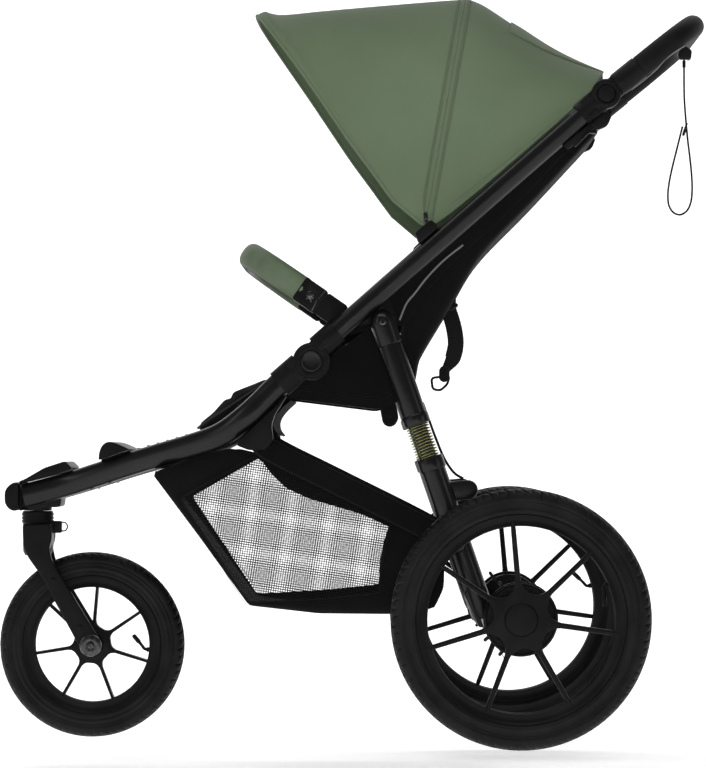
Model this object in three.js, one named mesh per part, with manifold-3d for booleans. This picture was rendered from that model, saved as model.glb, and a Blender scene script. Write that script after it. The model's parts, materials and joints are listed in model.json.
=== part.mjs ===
// Three-wheeled jogging stroller, in millimetres. +X points to the rear, +Z up, and the left side is -Y.
// The origin is on the ground, under the middle of the object.
import * as THREE from 'three';
import { mergeVertices } from 'three/addons/utils/BufferGeometryUtils.js';
import Module from 'manifold-3d';

const wasm = await Module();
wasm.setup();

// ---------------------------------------------------------------- driving dimensions
const GAP = 0.3; // left between two pieces that touch
const SIDES = { left: -1, right: 1 };

const FRAME_Y = 212; // the two side frames stand this far from the middle
const TRACK_Y = 275; // middle plane of a rear wheel
const HINGE = at(-55, 586); // main fold axis
const TUBE_FOOT = at(-55, 598.5); // where the side tubes' centre line crosses the fold axis
const HANDLE_JOINT = at(393, 993); // axis of the handle's angle joint
const LEG_PIVOT = at(53, 646);
const LEG_LEAN = 19; // degrees, from vertical
const BAR_FRONT = at(-138, 467);
const BAR_REAR = at(168, 305);
const CANOPY_PIVOT = at(118, 775);
const RECLINE_PIVOT = at(106, 556);

const UPPER_TUBE_R = 16;
const FRONT_TUBE = { halfWidth: 14.5, halfDepth: 18.5 };
const LEG_R = 18.5;
const ROD_R = 12;

const REAR_WHEEL = {
  x: 261, tyreR: 196.5, halfWidth: 22, rimR: 158.5, openingR: 140.6, facets: 36,
  hubR: 27, spokeAngles: [95, 44, -8, -60, -111, -163, 146], spokeY: 12,
};
const FRONT_WHEEL = {
  x: -404.5, tyreR: 145.5, halfWidth: 20, rimR: 108.7, openingR: 90.3, facets: 30,
  hubR: 20, spokeAngles: [85, 34, -17, -69, -120, -171, 137], spokeY: 0,
};
const SWIVEL_X = -491;

// ---------------------------------------------------------------- plane helpers, in the side view
function at(x, z) {
  return new THREE.Vector2(x, z);
}

function unit(from, to) {
  return to.clone().sub(from).normalize();
}

// The point s along a direction from a start, and p across it (positive on the upper side).
function along(start, dir, s, p = 0) {
  return at(start.x + dir.x * s - dir.y * p, start.y + dir.y * s + dir.x * p);
}

const TUBE_DIR = unit(TUBE_FOOT, HANDLE_JOINT);
const TUBE_LENGTH = TUBE_FOOT.distanceTo(HANDLE_JOINT);
const HINGE_S = HINGE.clone().sub(TUBE_FOOT).dot(TUBE_DIR); // the fold axis, along the tube's line
const LEG_DIR = at(Math.sin(THREE.MathUtils.degToRad(LEG_LEAN)), -Math.cos(THREE.MathUtils.degToRad(LEG_LEAN)));

function onTube(s, p = 0) {
  return along(TUBE_FOOT, TUBE_DIR, s, p);
}

function onLeg(t, p = 0) {
  return along(LEG_PIVOT, LEG_DIR, t, p);
}

function in3D(point, y) {
  return new THREE.Vector3(point.x, y, point.y);
}

// ---------------------------------------------------------------- solids
// A closed three.js geometry as a solid, its faces turned outwards.
function solid(geometry) {
  const bare = geometry.clone();
  bare.deleteAttribute('normal');
  bare.deleteAttribute('uv');
  const merged = mergeVertices(bare, 1e-4);
  const triVerts = [];
  const index = merged.index.array;
  for (let i = 0; i < index.length; i += 3) {
    const [a, b, c] = [index[i], index[i + 1], index[i + 2]];
    if (a !== b && b !== c && c !== a) triVerts.push(a, b, c);
  }
  const points = merged.attributes.position;
  const [p, q, r] = [new THREE.Vector3(), new THREE.Vector3(), new THREE.Vector3()];
  let volume = 0;
  for (let i = 0; i < triVerts.length; i += 3) {
    p.fromBufferAttribute(points, triVerts[i]);
    q.fromBufferAttribute(points, triVerts[i + 1]);
    r.fromBufferAttribute(points, triVerts[i + 2]);
    volume += p.dot(q.cross(r));
  }
  if (volume < 0) {
    for (let i = 0; i < triVerts.length; i += 3) {
      [triVerts[i], triVerts[i + 1]] = [triVerts[i + 1], triVerts[i]];
    }
  }
  return new wasm.Manifold(new wasm.Mesh({
    numProp: 3,
    vertProperties: new Float32Array(points.array),
    triVerts: new Uint32Array(triVerts),
  }));
}

function join(...solids) {
  return solids.reduce((whole, piece) => whole.add(piece));
}

function cut(whole, ...tools) {
  return tools.reduce((rest, tool) => rest.subtract(tool), whole);
}

// A round bar along Y, centred on a side-view point, between two distances from the middle plane.
function barrel(point, radius, y0, y1, segments = 16) {
  const geometry = new THREE.CylinderGeometry(radius, radius, Math.abs(y1 - y0), segments);
  return solid(geometry.translate(point.x, (y0 + y1) / 2, point.y));
}

// A round bar from one 3-D point to another.
function rod(from, to, radius, segments = 14) {
  const span = to.clone().sub(from);
  const geometry = new THREE.CylinderGeometry(radius, radius, span.length(), segments);
  const turn = new THREE.Quaternion().setFromUnitVectors(new THREE.Vector3(0, 1, 0), span.clone().normalize());
  geometry.applyQuaternion(turn);
  const middle = from.clone().add(to).multiplyScalar(0.5);
  return solid(geometry.translate(middle.x, middle.y, middle.z));
}

// A round bar in a side frame, between two side-view points.
function bar(from, to, y, radius, segments = 14) {
  return rod(in3D(from, y), in3D(to, y), radius, segments);
}

// A flat plate: a side-view outline, given thickness between two distances from the middle plane.
function plate(shape, y0, y1, curveSegments = 5) {
  const depth = Math.abs(y1 - y0);
  const geometry = new THREE.ExtrudeGeometry(shape, { depth, bevelEnabled: false, curveSegments });
  return solid(geometry.rotateX(Math.PI / 2).translate(0, Math.max(y0, y1), 0));
}

function outline(points) {
  return new THREE.Shape(points);
}

// An outline whose corners are rounded.
function rounded(points, radius) {
  const shape = new THREE.Shape();
  points.forEach((corner, i) => {
    const before = points[(i + points.length - 1) % points.length];
    const after = points[(i + 1) % points.length];
    const reachIn = Math.min(radius, corner.distanceTo(before) / 2);
    const reachOut = Math.min(radius, corner.distanceTo(after) / 2);
    const start = corner.clone().add(unit(corner, before).multiplyScalar(reachIn));
    const end = corner.clone().add(unit(corner, after).multiplyScalar(reachOut));
    if (i === 0) shape.moveTo(start.x, start.y);
    else shape.lineTo(start.x, start.y);
    shape.quadraticCurveTo(corner.x, corner.y, end.x, end.y);
  });
  shape.closePath();
  return shape;
}

// A strip of even width along two or more points, with round ends.
function strip(points, halfWidth) {
  const side = (sign) => points.map((point, i) => {
    const before = points[Math.max(i - 1, 0)];
    const after = points[Math.min(i + 1, points.length - 1)];
    return along(point, unit(before, after), 0, sign * halfWidth);
  });
  const shape = new THREE.Shape();
  const [upper, lower] = [side(1), side(-1).reverse()];
  const first = points[0];
  const last = points[points.length - 1];
  const startAngle = Math.atan2(upper[0].y - first.y, upper[0].x - first.x);
  const endAngle = Math.atan2(upper[upper.length - 1].y - last.y, upper[upper.length - 1].x - last.x);
  shape.moveTo(upper[0].x, upper[0].y);
  upper.slice(1).forEach((point) => shape.lineTo(point.x, point.y));
  shape.absarc(last.x, last.y, halfWidth, endAngle, endAngle - Math.PI, true);
  lower.slice(1).forEach((point) => shape.lineTo(point.x, point.y));
  shape.absarc(first.x, first.y, halfWidth, startAngle - Math.PI, startAngle - 2 * Math.PI, true);
  return shape;
}

function ellipse(halfWidth, halfDepth, sides) {
  const points = [];
  for (let i = 0; i < sides; i += 1) {
    const angle = (i / sides) * 2 * Math.PI;
    points.push(new THREE.Vector2(halfWidth * Math.cos(angle), halfDepth * Math.sin(angle)));
  }
  return new THREE.Shape(points);
}

function sweep(curve, section, steps) {
  return solid(new THREE.ExtrudeGeometry(section, { steps, extrudePath: curve, bevelEnabled: false }));
}

// A ring about the Y axis: pairs of radius and distance along the axis, in order round the section.
function ring(pairs, segments) {
  const profile = pairs.map(([radius, y]) => new THREE.Vector2(radius, y));
  profile.push(profile[0].clone());
  return solid(new THREE.LatheGeometry(profile, segments, Math.PI / segments));
}

// A solid through rings of points that all have the same count, closed at both ends.
function loft(rings) {
  const count = rings[0].length;
  const half = count / 2;
  const positions = rings.flat().flatMap((point) => [point.x, point.y, point.z]);
  const index = [];
  const quad = (a, b, c, d) => index.push(a, b, c, a, c, d);
  for (let i = 0; i + 1 < rings.length; i += 1) {
    for (let j = 0; j < count; j += 1) {
      const next = (j + 1) % count;
      quad(i * count + j, i * count + next, (i + 1) * count + next, (i + 1) * count + j);
    }
  }
  // The second half of each ring runs back beside the first, so the ends close with strips.
  const last = (rings.length - 1) * count;
  for (let j = 0; j + 1 < half; j += 1) {
    const [a, b, c, d] = [j, j + 1, count - 2 - j, count - 1 - j];
    quad(d, c, b, a);
    quad(last + a, last + b, last + c, last + d);
  }
  const geometry = new THREE.BufferGeometry();
  geometry.setAttribute('position', new THREE.Float32BufferAttribute(positions, 3));
  geometry.setIndex(index);
  return solid(geometry);
}

// ---------------------------------------------------------------- materials and the group
function material(color, roughness, metalness = 0) {
  return new THREE.MeshStandardMaterial({ color, roughness, metalness });
}

const MATERIALS = {
  paint: material(0x141415, 0.35, 0.6),
  plastic: material(0x1c1c1d, 0.6),
  foam: material(0x181819, 0.8),
  fabric: material(0x151516, 0.9),
  canopy: material(0x65785e, 0.85),
  leather: material(0x62755c, 0.55),
  steel: material(0xb9b8a2, 0.3, 0.9),
  rubber: material(0x1d1d1e, 0.85),
};

const group = new THREE.Group();

function add(name, piece, finish, position = [0, 0, 0]) {
  const { vertProperties, triVerts } = piece.getMesh();
  const geometry = new THREE.BufferGeometry();
  geometry.setAttribute('position', new THREE.BufferAttribute(vertProperties, 3));
  geometry.setIndex(new THREE.BufferAttribute(triVerts, 1));
  geometry.computeVertexNormals();
  const mesh = new THREE.Mesh(geometry, MATERIALS[finish]);
  mesh.name = name;
  mesh.position.set(...position);
  group.add(mesh);
}

function forEachSide(build) {
  Object.entries(SIDES).forEach(([side, s]) => build(side, s));
}

// ---------------------------------------------------------------- front frame
// Centre line of one front tube: side-view point and distance from the middle.
const FRONT_TUBE_LINE = [
  [-508, 380, 60], [-443, 397, 62], [-390, 413.5, 82], [-338, 430, 110], [-290, 444, 140], [-241, 458, 170],
  [-194, 475, 197], [-156, 502, 212], [-130, 526, 212],
];
const FRONT_TUBE_DROP = -3; // its centre line stands this far across the upper tube's line at the hinge
const SLEEVE = { start: 31, plug: 33.6, end: 60 }; // a hinge sleeve, counted from the fold axis

function frontTubes() {
  const joinS = HINGE_S - SLEEVE.end - 8;
  forEachSide((side, s) => {
    const points = FRONT_TUBE_LINE.map(([x, z, y]) => new THREE.Vector3(x, s * y, z));
    points.push(in3D(onTube(joinS, FRONT_TUBE_DROP), s * FRAME_Y));
    const curve = new THREE.CatmullRomCurve3(points, false, 'centripetal');
    const bent = sweep(curve, ellipse(FRONT_TUBE.halfWidth, FRONT_TUBE.halfDepth, 12), 16);
    const end = straight(joinS - 3, HINGE_S - SLEEVE.plug - GAP, s, FRONT_TUBE_DROP,
      FRONT_TUBE.halfWidth, FRONT_TUBE.halfDepth);
    add(`front_tube_${side}`, join(bent, end), 'paint');
  });
}

// The block between the tubes' noses that carries the front wheel's swivel.
function headBracket() {
  const halfWidth = 44;
  const block = plate(rounded([at(-513, 362), at(-452, 362), at(-448, 400), at(-478, 404), at(-513, 392)], 6),
    -halfWidth, halfWidth, 3);
  const socket = rod(new THREE.Vector3(SWIVEL_X, 0, 356.3), new THREE.Vector3(SWIVEL_X, 0, 370), 22, 20);
  const bore = rod(new THREE.Vector3(SWIVEL_X, 0, 350), new THREE.Vector3(SWIVEL_X, 0, 388), 9, 16);
  add('head_bracket', cut(join(block, socket), bore), 'plastic');
}

// The soft-cornered cover over the tubes' noses, with its raised edge behind.
function noseCover() {
  const points = [
    at(-513.6, 357), at(-527, 357), at(-536, 368), at(-536, 389), at(-526, 400), at(-505, 405.5),
    at(-441.6, 434.5), at(-434, 427), at(-431, 422.4), at(-443, 418), at(-513.6, 400),
  ];
  add('nose_cover', plate(rounded(points, 5), -79, 79, 3), 'plastic');
}

function footRest() {
  const roll = [
    at(-386, 436.4), at(-384, 452), at(-377, 462), at(-370, 464.5), at(-361, 463), at(-338, 452.6),
    at(-338, 451.6),
  ];
  const board = [at(-386, 430), at(-246, 470), at(-246, 477), at(-386, 437)];
  add('foot_rest', join(plate(rounded(roll, 3), -124, 124, 2), plate(outline(board), -66, 66)), 'plastic');
}

function calfRest() {
  const points = [
    at(-242, 480), at(-211, 508), at(-180, 541), at(-139, 557), at(-113, 570), at(-104, 560),
    at(-130, 541), at(-163, 522), at(-198, 489), at(-232, 470),
  ];
  add('calf_rest', plate(rounded(points, 9), -150, 150, 3), 'fabric');
}

// Fold hinge: the housing is the outer half on the front frame, the knuckle the inner half above.
const HINGE_R = 28;
const HINGE_FACE = FRAME_Y + 18; // outer face of the housing
const HINGE_BACK = FRAME_Y - 19.8;
const HINGE_BORE = 6.4;

// A straight piece of tube on the upper tube's line, or p across it.
function straight(fromS, toS, s, p, halfWidth, halfDepth) {
  const line = new THREE.LineCurve3(in3D(onTube(fromS, p), s * FRAME_Y), in3D(onTube(toS, p), s * FRAME_Y));
  return sweep(line, ellipse(halfWidth, halfDepth, 16), 1);
}

// A sleeve over a tube's end, whose closed half reaches the hinge disc. way is -1 forwards, 1 upwards.
function hingeHalf(s, way, p, innerY, outerY, disc, tubeSize) {
  const reach = (distance) => HINGE_S + way * distance;
  const { halfWidth, halfDepth } = tubeSize;
  const sleeve = cut(
    straight(reach(SLEEVE.start), reach(SLEEVE.end), s, p, halfWidth + 4, halfDepth + 3.2),
    straight(reach(SLEEVE.plug), reach(SLEEVE.end + 1), s, p, halfWidth + 0.5, halfDepth + 0.5),
  );
  const depth = halfDepth + 2;
  const link = plate(outline([onTube(reach(0), p + depth - 4), onTube(reach(0), p - depth + 6),
    onTube(reach(SLEEVE.plug), p - depth), onTube(reach(SLEEVE.plug), p + depth - 2)]), s * innerY, s * outerY);
  const body = join(sleeve, link, barrel(HINGE, disc, s * innerY, s * outerY, 24));
  return cut(body, barrel(HINGE, HINGE_BORE, s * (innerY - 1), s * (outerY + 1)));
}

function foldHinges() {
  const round = { halfWidth: UPPER_TUBE_R, halfDepth: UPPER_TUBE_R };
  forEachSide((side, s) => {
    const housing = hingeHalf(s, -1, FRONT_TUBE_DROP, FRAME_Y + GAP / 2, HINGE_FACE, HINGE_R, FRONT_TUBE);
    const recess = barrel(HINGE, 17, s * (HINGE_FACE - 4), s * (HINGE_FACE + 1), 24);
    add(`hinge_housing_${side}`, cut(housing, recess), 'plastic');
    const knuckle = hingeHalf(s, 1, 0, HINGE_BACK, FRAME_Y - GAP / 2, HINGE_R - 0.5, round);
    add(`hinge_knuckle_${side}`, knuckle, 'plastic');
    const shaft = barrel(HINGE, 6, s * (HINGE_BACK - 2), s * (HINGE_FACE - 2));
    const head = barrel(HINGE, 16.4, s * (HINGE_FACE - 3.7), s * (HINGE_FACE + 3), 24);
    add(`hinge_pin_${side}`, join(shaft, head), 'paint');
  });
}

// Brackets under the front tubes that carry the lower bars' front pivots.
const BAR_INNER = 177;
const BAR_OUTER = 191;

function lowerBrackets() {
  const points = [
    at(-92, 535), at(-111, 505), at(-116, 488), at(-113, 468), at(-124, 452), at(-150, 451),
    at(-170, 459), at(-156, 474), at(-126, 501),
  ];
  forEachSide((side, s) => {
    const ear = plate(rounded(points, 5), s * 193, s * 226, 3);
    const pin = barrel(BAR_FRONT, 5, s * (BAR_INNER - 2), s * 194, 16);
    add(`lower_bracket_${side}`, join(ear, pin), 'plastic');
  });
}

// Seat pan with side walls: the child sits between them.
function seatBase() {
  const half = 158;
  const wall = 6;
  const side = [
    at(-90, 531), at(45, 514), at(79, 530), at(86, 562), at(73, 638), at(48, 652), at(-20, 598), at(-80, 553),
  ];
  const hollow = [at(-100, 563), at(60, 552), at(120, 556), at(120, 700), at(-100, 700)];
  const pan = plate(rounded(side, 10), -half, half, 3);
  add('seat_base', cut(pan, plate(outline(hollow), -half + wall, half - wall)), 'fabric');
}

// Shopping basket: a thin-walled bag, open at the top.
function basket() {
  const half = 173;
  const wall = 3;
  const outer = [
    at(-297, 417), at(-228, 318), at(-151, 215), at(-45, 201), at(64, 200), at(132, 208), at(147, 240),
    at(149, 312), at(-122, 436), at(-152, 442),
  ];
  const inner = [
    at(-291, 420), at(-225, 320), at(-149, 218), at(-45, 204), at(64, 203), at(130, 211), at(144, 241),
    at(146, 330), at(146, 480), at(-291, 480),
  ];
  add('basket', cut(plate(rounded(outer, 8), -half, half, 2), plate(outline(inner), -half + wall, half - wall)),
    'fabric');
}

// ---------------------------------------------------------------- upper frame
const JOINT_R = 22;
const JOINT_SLEEVE = 50;
const JOINT_PLUG = 25;

function upperTubes() {
  forEachSide((side, s) => {
    const tube = straight(HINGE_S + SLEEVE.plug + GAP, TUBE_LENGTH - JOINT_PLUG - GAP, s, 0,
      UPPER_TUBE_R, UPPER_TUBE_R);
    add(`upper_tube_${side}`, tube, 'paint');
  });
}

// Ears on the upper tubes' inner sides, with the pins that the rear legs turn on.
function legBrackets() {
  const inner = 188.3;
  const outer = 193.2;
  const points = [onTube(60, -4), onTube(150, -4), at(78, 640), at(60, 628), at(44, 630), at(36, 646)];
  forEachSide((side, s) => {
    const ear = plate(rounded(points, 7), s * inner, s * outer, 3);
    const pad = plate(outline([onTube(70, 8), onTube(140, 8), onTube(140, -10), onTube(70, -10)]),
      s * inner, s * 195.6);
    const pin = barrel(LEG_PIVOT, 5, s * (outer - 1), s * (FRAME_Y + LEG_R + 1.5), 16);
    add(`leg_bracket_${side}`, join(ear, pad, pin), 'plastic');
  });
}

// Seat back: a trough of fabric between the tubes, open to the front.
const BACK_HALF = 186;

function seatBack() {
  const rear = [at(384, 938), at(203, 748), at(166, 688), at(116, 604), at(104, 566)];
  const front = [at(96, 572), at(106, 640), at(160, 745), at(222, 802), at(372, 952)];
  const wall = 6;
  const hollow = [
    at(90, 540), at(96, 574), at(108, 607), at(157, 689), at(193, 748), at(376, 942), at(330, 990),
    at(60, 760), at(60, 540),
  ];
  const shell = plate(rounded([...rear, ...front], 6), -BACK_HALF, BACK_HALF, 2);
  const inside = plate(outline(hollow), -BACK_HALF + wall, BACK_HALF - wall);
  const foot = plate(strip([RECLINE_PIVOT, at(112, 590)], 5), -150, 150, 3);
  add('seat_back', join(cut(shell, inside), foot), 'fabric');
}

// Clamps on the upper tubes that carry the canopy's pivot pins.
function canopyHubs() {
  const foot = CANOPY_PIVOT.clone().sub(TUBE_FOOT).dot(TUBE_DIR);
  forEachSide((side, s) => {
    const clamp = plate(rounded([onTube(foot - 14, 16.4), onTube(foot + 26, 16.4), onTube(foot + 24, 33),
      onTube(foot - 8, 33)], 5), s * 195, s * 224, 3);
    const web = plate(rounded([onTube(foot - 12, 10), onTube(foot + 24, 10), onTube(foot + 24, 30),
      onTube(foot - 8, 30)], 5), s * 194.4, s * 195.6, 3);
    const pin = barrel(CANOPY_PIVOT, 4, s * 186.6, s * 196, 14);
    add(`canopy_hub_${side}`, join(clamp, web, pin), 'plastic');
  });
}

// ---------------------------------------------------------------- canopy
// The crest, seen from the side: the main panel in front, the rear panel tucked under its rear edge.
const FRONT_CREST = [at(-145, 1135), at(-40, 1143.2), at(70, 1151.8), at(166, 1159), at(207, 1154)];
const REAR_CREST = [at(184, 1143), at(212, 1135), at(265, 1113), at(312, 1080), at(354, 1058), at(394, 1038)];
const CANOPY_WALL = 3;
const EAR = { radius: 14, hole: 4.4 };

// One bow of the canopy, in the plane through the pivot and a crest point.
function bow(crest, halfWidth, corner, inset) {
  const height = crest.distanceTo(CANOPY_PIVOT) - inset;
  const dir = unit(CANOPY_PIVOT, crest);
  const w = halfWidth - inset;
  const r = corner - inset;
  const root = 8;
  const arcSteps = 4;
  const sideLine = [[root, -w]];
  for (let i = 0; i <= arcSteps; i += 1) {
    const angle = (i / arcSteps) * (Math.PI / 2);
    sideLine.push([height - r + r * Math.sin(angle), -w + r - r * Math.cos(angle)]);
  }
  const mirrored = sideLine.map(([up, y]) => [up, -y]).reverse();
  return [...sideLine, ...mirrored].map(([up, y]) => in3D(along(CANOPY_PIVOT, dir, up), y));
}

function canopyShell(crest, halfWidth, corner) {
  const rings = crest.map((point) => [
    ...bow(point, halfWidth, corner, 0),
    ...bow(point, halfWidth, corner, CANOPY_WALL).reverse(),
  ]);
  let shell = loft(rings);
  Object.values(SIDES).forEach((s) => {
    shell = shell.add(barrel(CANOPY_PIVOT, EAR.radius, s * (halfWidth - CANOPY_WALL), s * halfWidth, 20));
    shell = shell.subtract(barrel(CANOPY_PIVOT, EAR.hole, s * (halfWidth - 10), s * (halfWidth + 10), 14));
  });
  return shell;
}

function canopy() {
  add('canopy_front', canopyShell(FRONT_CREST, 194, 110), 'canopy');
  add('canopy_rear', canopyShell(REAR_CREST, 190.5, 106.5), 'canopy');
}

// ---------------------------------------------------------------- handle
const GRIP_END = at(533, 1106.5);
const HANDLE_DIR = unit(HANDLE_JOINT, GRIP_END);
const HANDLE_REACH = HANDLE_JOINT.distanceTo(GRIP_END);
const HANDLE_SLEEVE = 66;
const BUTTON_R = 13.5;

// A U-shaped centre line in a plane tilted about Y: two arms, two round corners and a cross run.
function uCurve(origin, dir, start, reach, halfWidth, corner) {
  const point = (s, y) => in3D(along(origin, dir, s), y);
  const path = new THREE.CurvePath();
  const bend = (y) => new THREE.QuadraticBezierCurve3(
    point(reach - corner, y), point(reach, y), point(reach, y - Math.sign(y) * corner));
  path.add(new THREE.LineCurve3(point(start, -halfWidth), point(reach - corner, -halfWidth)));
  path.add(bend(-halfWidth));
  path.add(new THREE.LineCurve3(point(reach, -halfWidth + corner), point(reach, halfWidth - corner)));
  const back = bend(halfWidth);
  path.add(new THREE.QuadraticBezierCurve3(back.v2, back.v1, back.v0));
  path.add(new THREE.LineCurve3(point(reach - corner, halfWidth), point(start, halfWidth)));
  return path;
}

function handle() {
  const path = uCurve(HANDLE_JOINT, HANDLE_DIR, HANDLE_SLEEVE + GAP, HANDLE_REACH, FRAME_Y, 78);
  add('handle_grip', sweep(path, ellipse(17.5, 17.5, 10), 22), 'foam');
  forEachSide((side, s) => {
    const y = s * FRAME_Y;
    // Upper frame's half: sleeve, outer disc and the recess that holds the button.
    const sleeve = straight(TUBE_LENGTH - JOINT_SLEEVE, TUBE_LENGTH - 22.6, s, 0, 19.5, 19.5);
    const tubeRoom = straight(TUBE_LENGTH - JOINT_SLEEVE - 1, TUBE_LENGTH - JOINT_PLUG, s, 0,
      UPPER_TUBE_R + 0.5, UPPER_TUBE_R + 0.5);
    const outerLink = plate(outline([onTube(TUBE_LENGTH - 24, 18), onTube(TUBE_LENGTH, 18),
      onTube(TUBE_LENGTH, -18), onTube(TUBE_LENGTH - 24, -18)]), s * (FRAME_Y + GAP / 2), s * 230);
    const disc = barrel(HANDLE_JOINT, JOINT_R, s * (FRAME_Y + GAP / 2), s * 230, 24);
    const recess = barrel(HANDLE_JOINT, BUTTON_R + GAP, s * 221, s * 231, 20);
    const turning = barrel(HANDLE_JOINT, JOINT_R + 0.6, s * 190, s * (FRAME_Y + GAP / 2), 24);
    const socket = cut(join(sleeve, outerLink, disc), tubeRoom, recess, turning);
    add(`handle_socket_${side}`, socket, 'plastic');
    add(`handle_button_${side}`, barrel(HANDLE_JOINT, BUTTON_R, s * 225.5, s * 232.5, 20), 'plastic');
    // Handle's half: inner disc, then the arm that the grip starts from.
    const hand = (r, p = 0) => along(HANDLE_JOINT, HANDLE_DIR, r, p);
    const arm = bar(hand(24), hand(HANDLE_SLEEVE), y, 18.5);
    const innerLink = plate(outline([hand(0, 17), hand(27, 17), hand(27, -17), hand(0, -17)]),
      s * 193.6, s * (FRAME_Y - GAP / 2));
    const innerDisc = barrel(HANDLE_JOINT, JOINT_R - 0.5, s * 193.6, s * (FRAME_Y - GAP / 2), 24);
    add(`handle_arm_${side}`, join(arm, innerLink, innerDisc), 'plastic');
  });
}

// Wrist strap: a thin cord from a clip under the grip, sewn into a loop.
const STRAP_Y = -191;
const STRAP_ROUTE = [
  [514, 0, 1048], [514, 0, 1030], [514, 0, 1008], [514.5, 0, 986], [516, 0, 964], [517.5, 0, 946],
  [519.5, 0, 925], [522.5, 0, 900], [525.3, 0, 872], [526, 0, 848], [524, 0, 830], [518, 0, 817],
  [508, 0, 811], [498, 0, 814], [491, 0, 824], [489, 0, 840], [491, 0, 860], [496, 0, 884],
  [503, 0, 912], [508.5, 0, 934], [511.5, 0, 946],
];

function wristStrap() {
  const body = [at(506, 1048.3), at(524, 1048.3), at(526, 1062), at(514, 1070), at(504, 1058)];
  const clip = plate(rounded(body, 3), STRAP_Y - 6, STRAP_Y + 6, 2);
  const grip = sweep(uCurve(HANDLE_JOINT, HANDLE_DIR, HANDLE_SLEEVE, HANDLE_REACH, FRAME_Y, 78),
    ellipse(18.2, 18.2, 16), 40);
  add('wrist_strap_clip', cut(clip, grip), 'plastic');
  const points = STRAP_ROUTE.map(([x, dy, z]) => new THREE.Vector3(x, STRAP_Y + dy, z));
  const curve = new THREE.CatmullRomCurve3(points, false, 'centripetal');
  add('wrist_strap', sweep(curve, ellipse(1.5, 1.5, 8), 46), 'fabric');
}

// ---------------------------------------------------------------- bumper bar
const BUMPER_FOOT = at(-20, 662);
const BUMPER_FRONT = at(-151, 753);
const BUMPER_DIR = unit(BUMPER_FOOT, BUMPER_FRONT);
const BUMPER_Y = 179;
const BUMPER_HALF = { width: 16.5, depth: 21 };
const BUMPER_SPLIT = 25;
const BUMPER_GREEN = 66;

function bumperBlock(s, from, to, depth, width) {
  const p = (u, v) => along(BUMPER_FOOT, BUMPER_DIR, u, v);
  return plate(rounded([p(from, -depth), p(to, -depth), p(to, depth), p(from, depth)], 4),
    s * (BUMPER_Y - width), s * (BUMPER_Y + width), 2);
}

function bumper() {
  const reach = BUMPER_FOOT.distanceTo(BUMPER_FRONT);
  const path = uCurve(BUMPER_FOOT, BUMPER_DIR, BUMPER_GREEN + GAP, reach, BUMPER_Y, 88);
  add('bumper_bar', sweep(path, ellipse(BUMPER_HALF.width, BUMPER_HALF.depth, 10), 22), 'leather');
  forEachSide((side, s) => {
    const y = s * BUMPER_Y;
    const p = (u) => along(BUMPER_FOOT, BUMPER_DIR, u);
    const button = p(46);
    const block = bumperBlock(s, BUMPER_SPLIT, BUMPER_GREEN, 20, 16);
    const peg = bar(p(3), p(BUMPER_SPLIT + 1), y, 8, 16);
    const well = barrel(button, 6.4, s * (BUMPER_Y + 9), s * (BUMPER_Y + 17));
    add(`bumper_end_${side}`, cut(join(block, peg), well), 'plastic');
    add(`bumper_button_${side}`, barrel(button, 6, s * (BUMPER_Y + 12), s * (BUMPER_Y + 16.6)), 'plastic');
    const base = bumperBlock(s, -12, BUMPER_SPLIT - GAP, 19, 16.6);
    const bore = bar(p(0), p(BUMPER_SPLIT + 1), y, 8.4, 16);
    add(`bumper_socket_${side}`, cut(base, bore), 'plastic');
  });
}

// ---------------------------------------------------------------- rear legs and suspension
const BEAM = at(207, 200); // cross beam between the legs' feet
const BEAM_R = 13;
const LEG = {
  collar: 150, collarEnd: 165, springEnd: 218, lowerCollar: 238, foot: 470, rodTop: 140, boreTop: 112,
};

function rearLegs() {
  forEachSide((side, s) => {
    const y = s * FRAME_Y;
    const cap = new THREE.SphereGeometry(LEG_R, 12, 6).translate(LEG_PIVOT.x, y, LEG_PIVOT.y);
    const tube = bar(onLeg(0), onLeg(LEG.collarEnd), y, LEG_R);
    const collar = bar(onLeg(LEG.collar), onLeg(LEG.collarEnd), y, LEG_R + 2);
    const bore = bar(onLeg(LEG.boreTop), onLeg(LEG.collarEnd + 1), y, ROD_R + 0.5);
    const pinHole = barrel(LEG_PIVOT, 5.4, s * 190, s * 234, 12);
    add(`upper_leg_${side}`, cut(join(solid(cap), tube, collar), bore, pinHole), 'paint');

    const coil = bar(onLeg(LEG.collarEnd + GAP), onLeg(LEG.springEnd - GAP), y, 16.4);
    const core = bar(onLeg(LEG.collarEnd - 1), onLeg(LEG.springEnd + 1), y, ROD_R + 1);
    add(`suspension_spring_${side}`, cut(coil, core), 'steel');

    const slider = bar(onLeg(LEG.rodTop), onLeg(LEG.lowerCollar), y, ROD_R);
    const lowerCollar = bar(onLeg(LEG.springEnd), onLeg(LEG.lowerCollar), y, LEG_R + 2);
    const lowerTube = bar(onLeg(LEG.springEnd + 4), onLeg(LEG.foot), y, LEG_R);
    const axle = at(REAR_WHEEL.x, REAR_WHEEL.tyreR);
    const shoe = plate(strip([onLeg(LEG.foot - 32), onLeg(LEG.foot + 6), axle], 17), s * 198, s * 226, 6);
    const lug = plate(strip([at(150, 388), at(183, 391)], 15), s * 194, s * 214, 4);
    const stub = barrel(axle, 6, s * 225, s * (TRACK_Y + 9), 16);
    const socket = barrel(BEAM, BEAM_R + 4, s * 193.5, s * 202);
    const bolt = barrel(BAR_REAR, 9, s * (FRAME_Y + LEG_R - 4), s * (FRAME_Y + LEG_R + 3), 16);
    add(`lower_leg_${side}`, join(slider, lowerCollar, lowerTube, shoe, lug, stub, socket, bolt), 'paint');
  });
}

function rearAxleBeam() {
  add('rear_axle_beam', barrel(BEAM, BEAM_R, -193.2, 193.2), 'paint');
}

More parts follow.
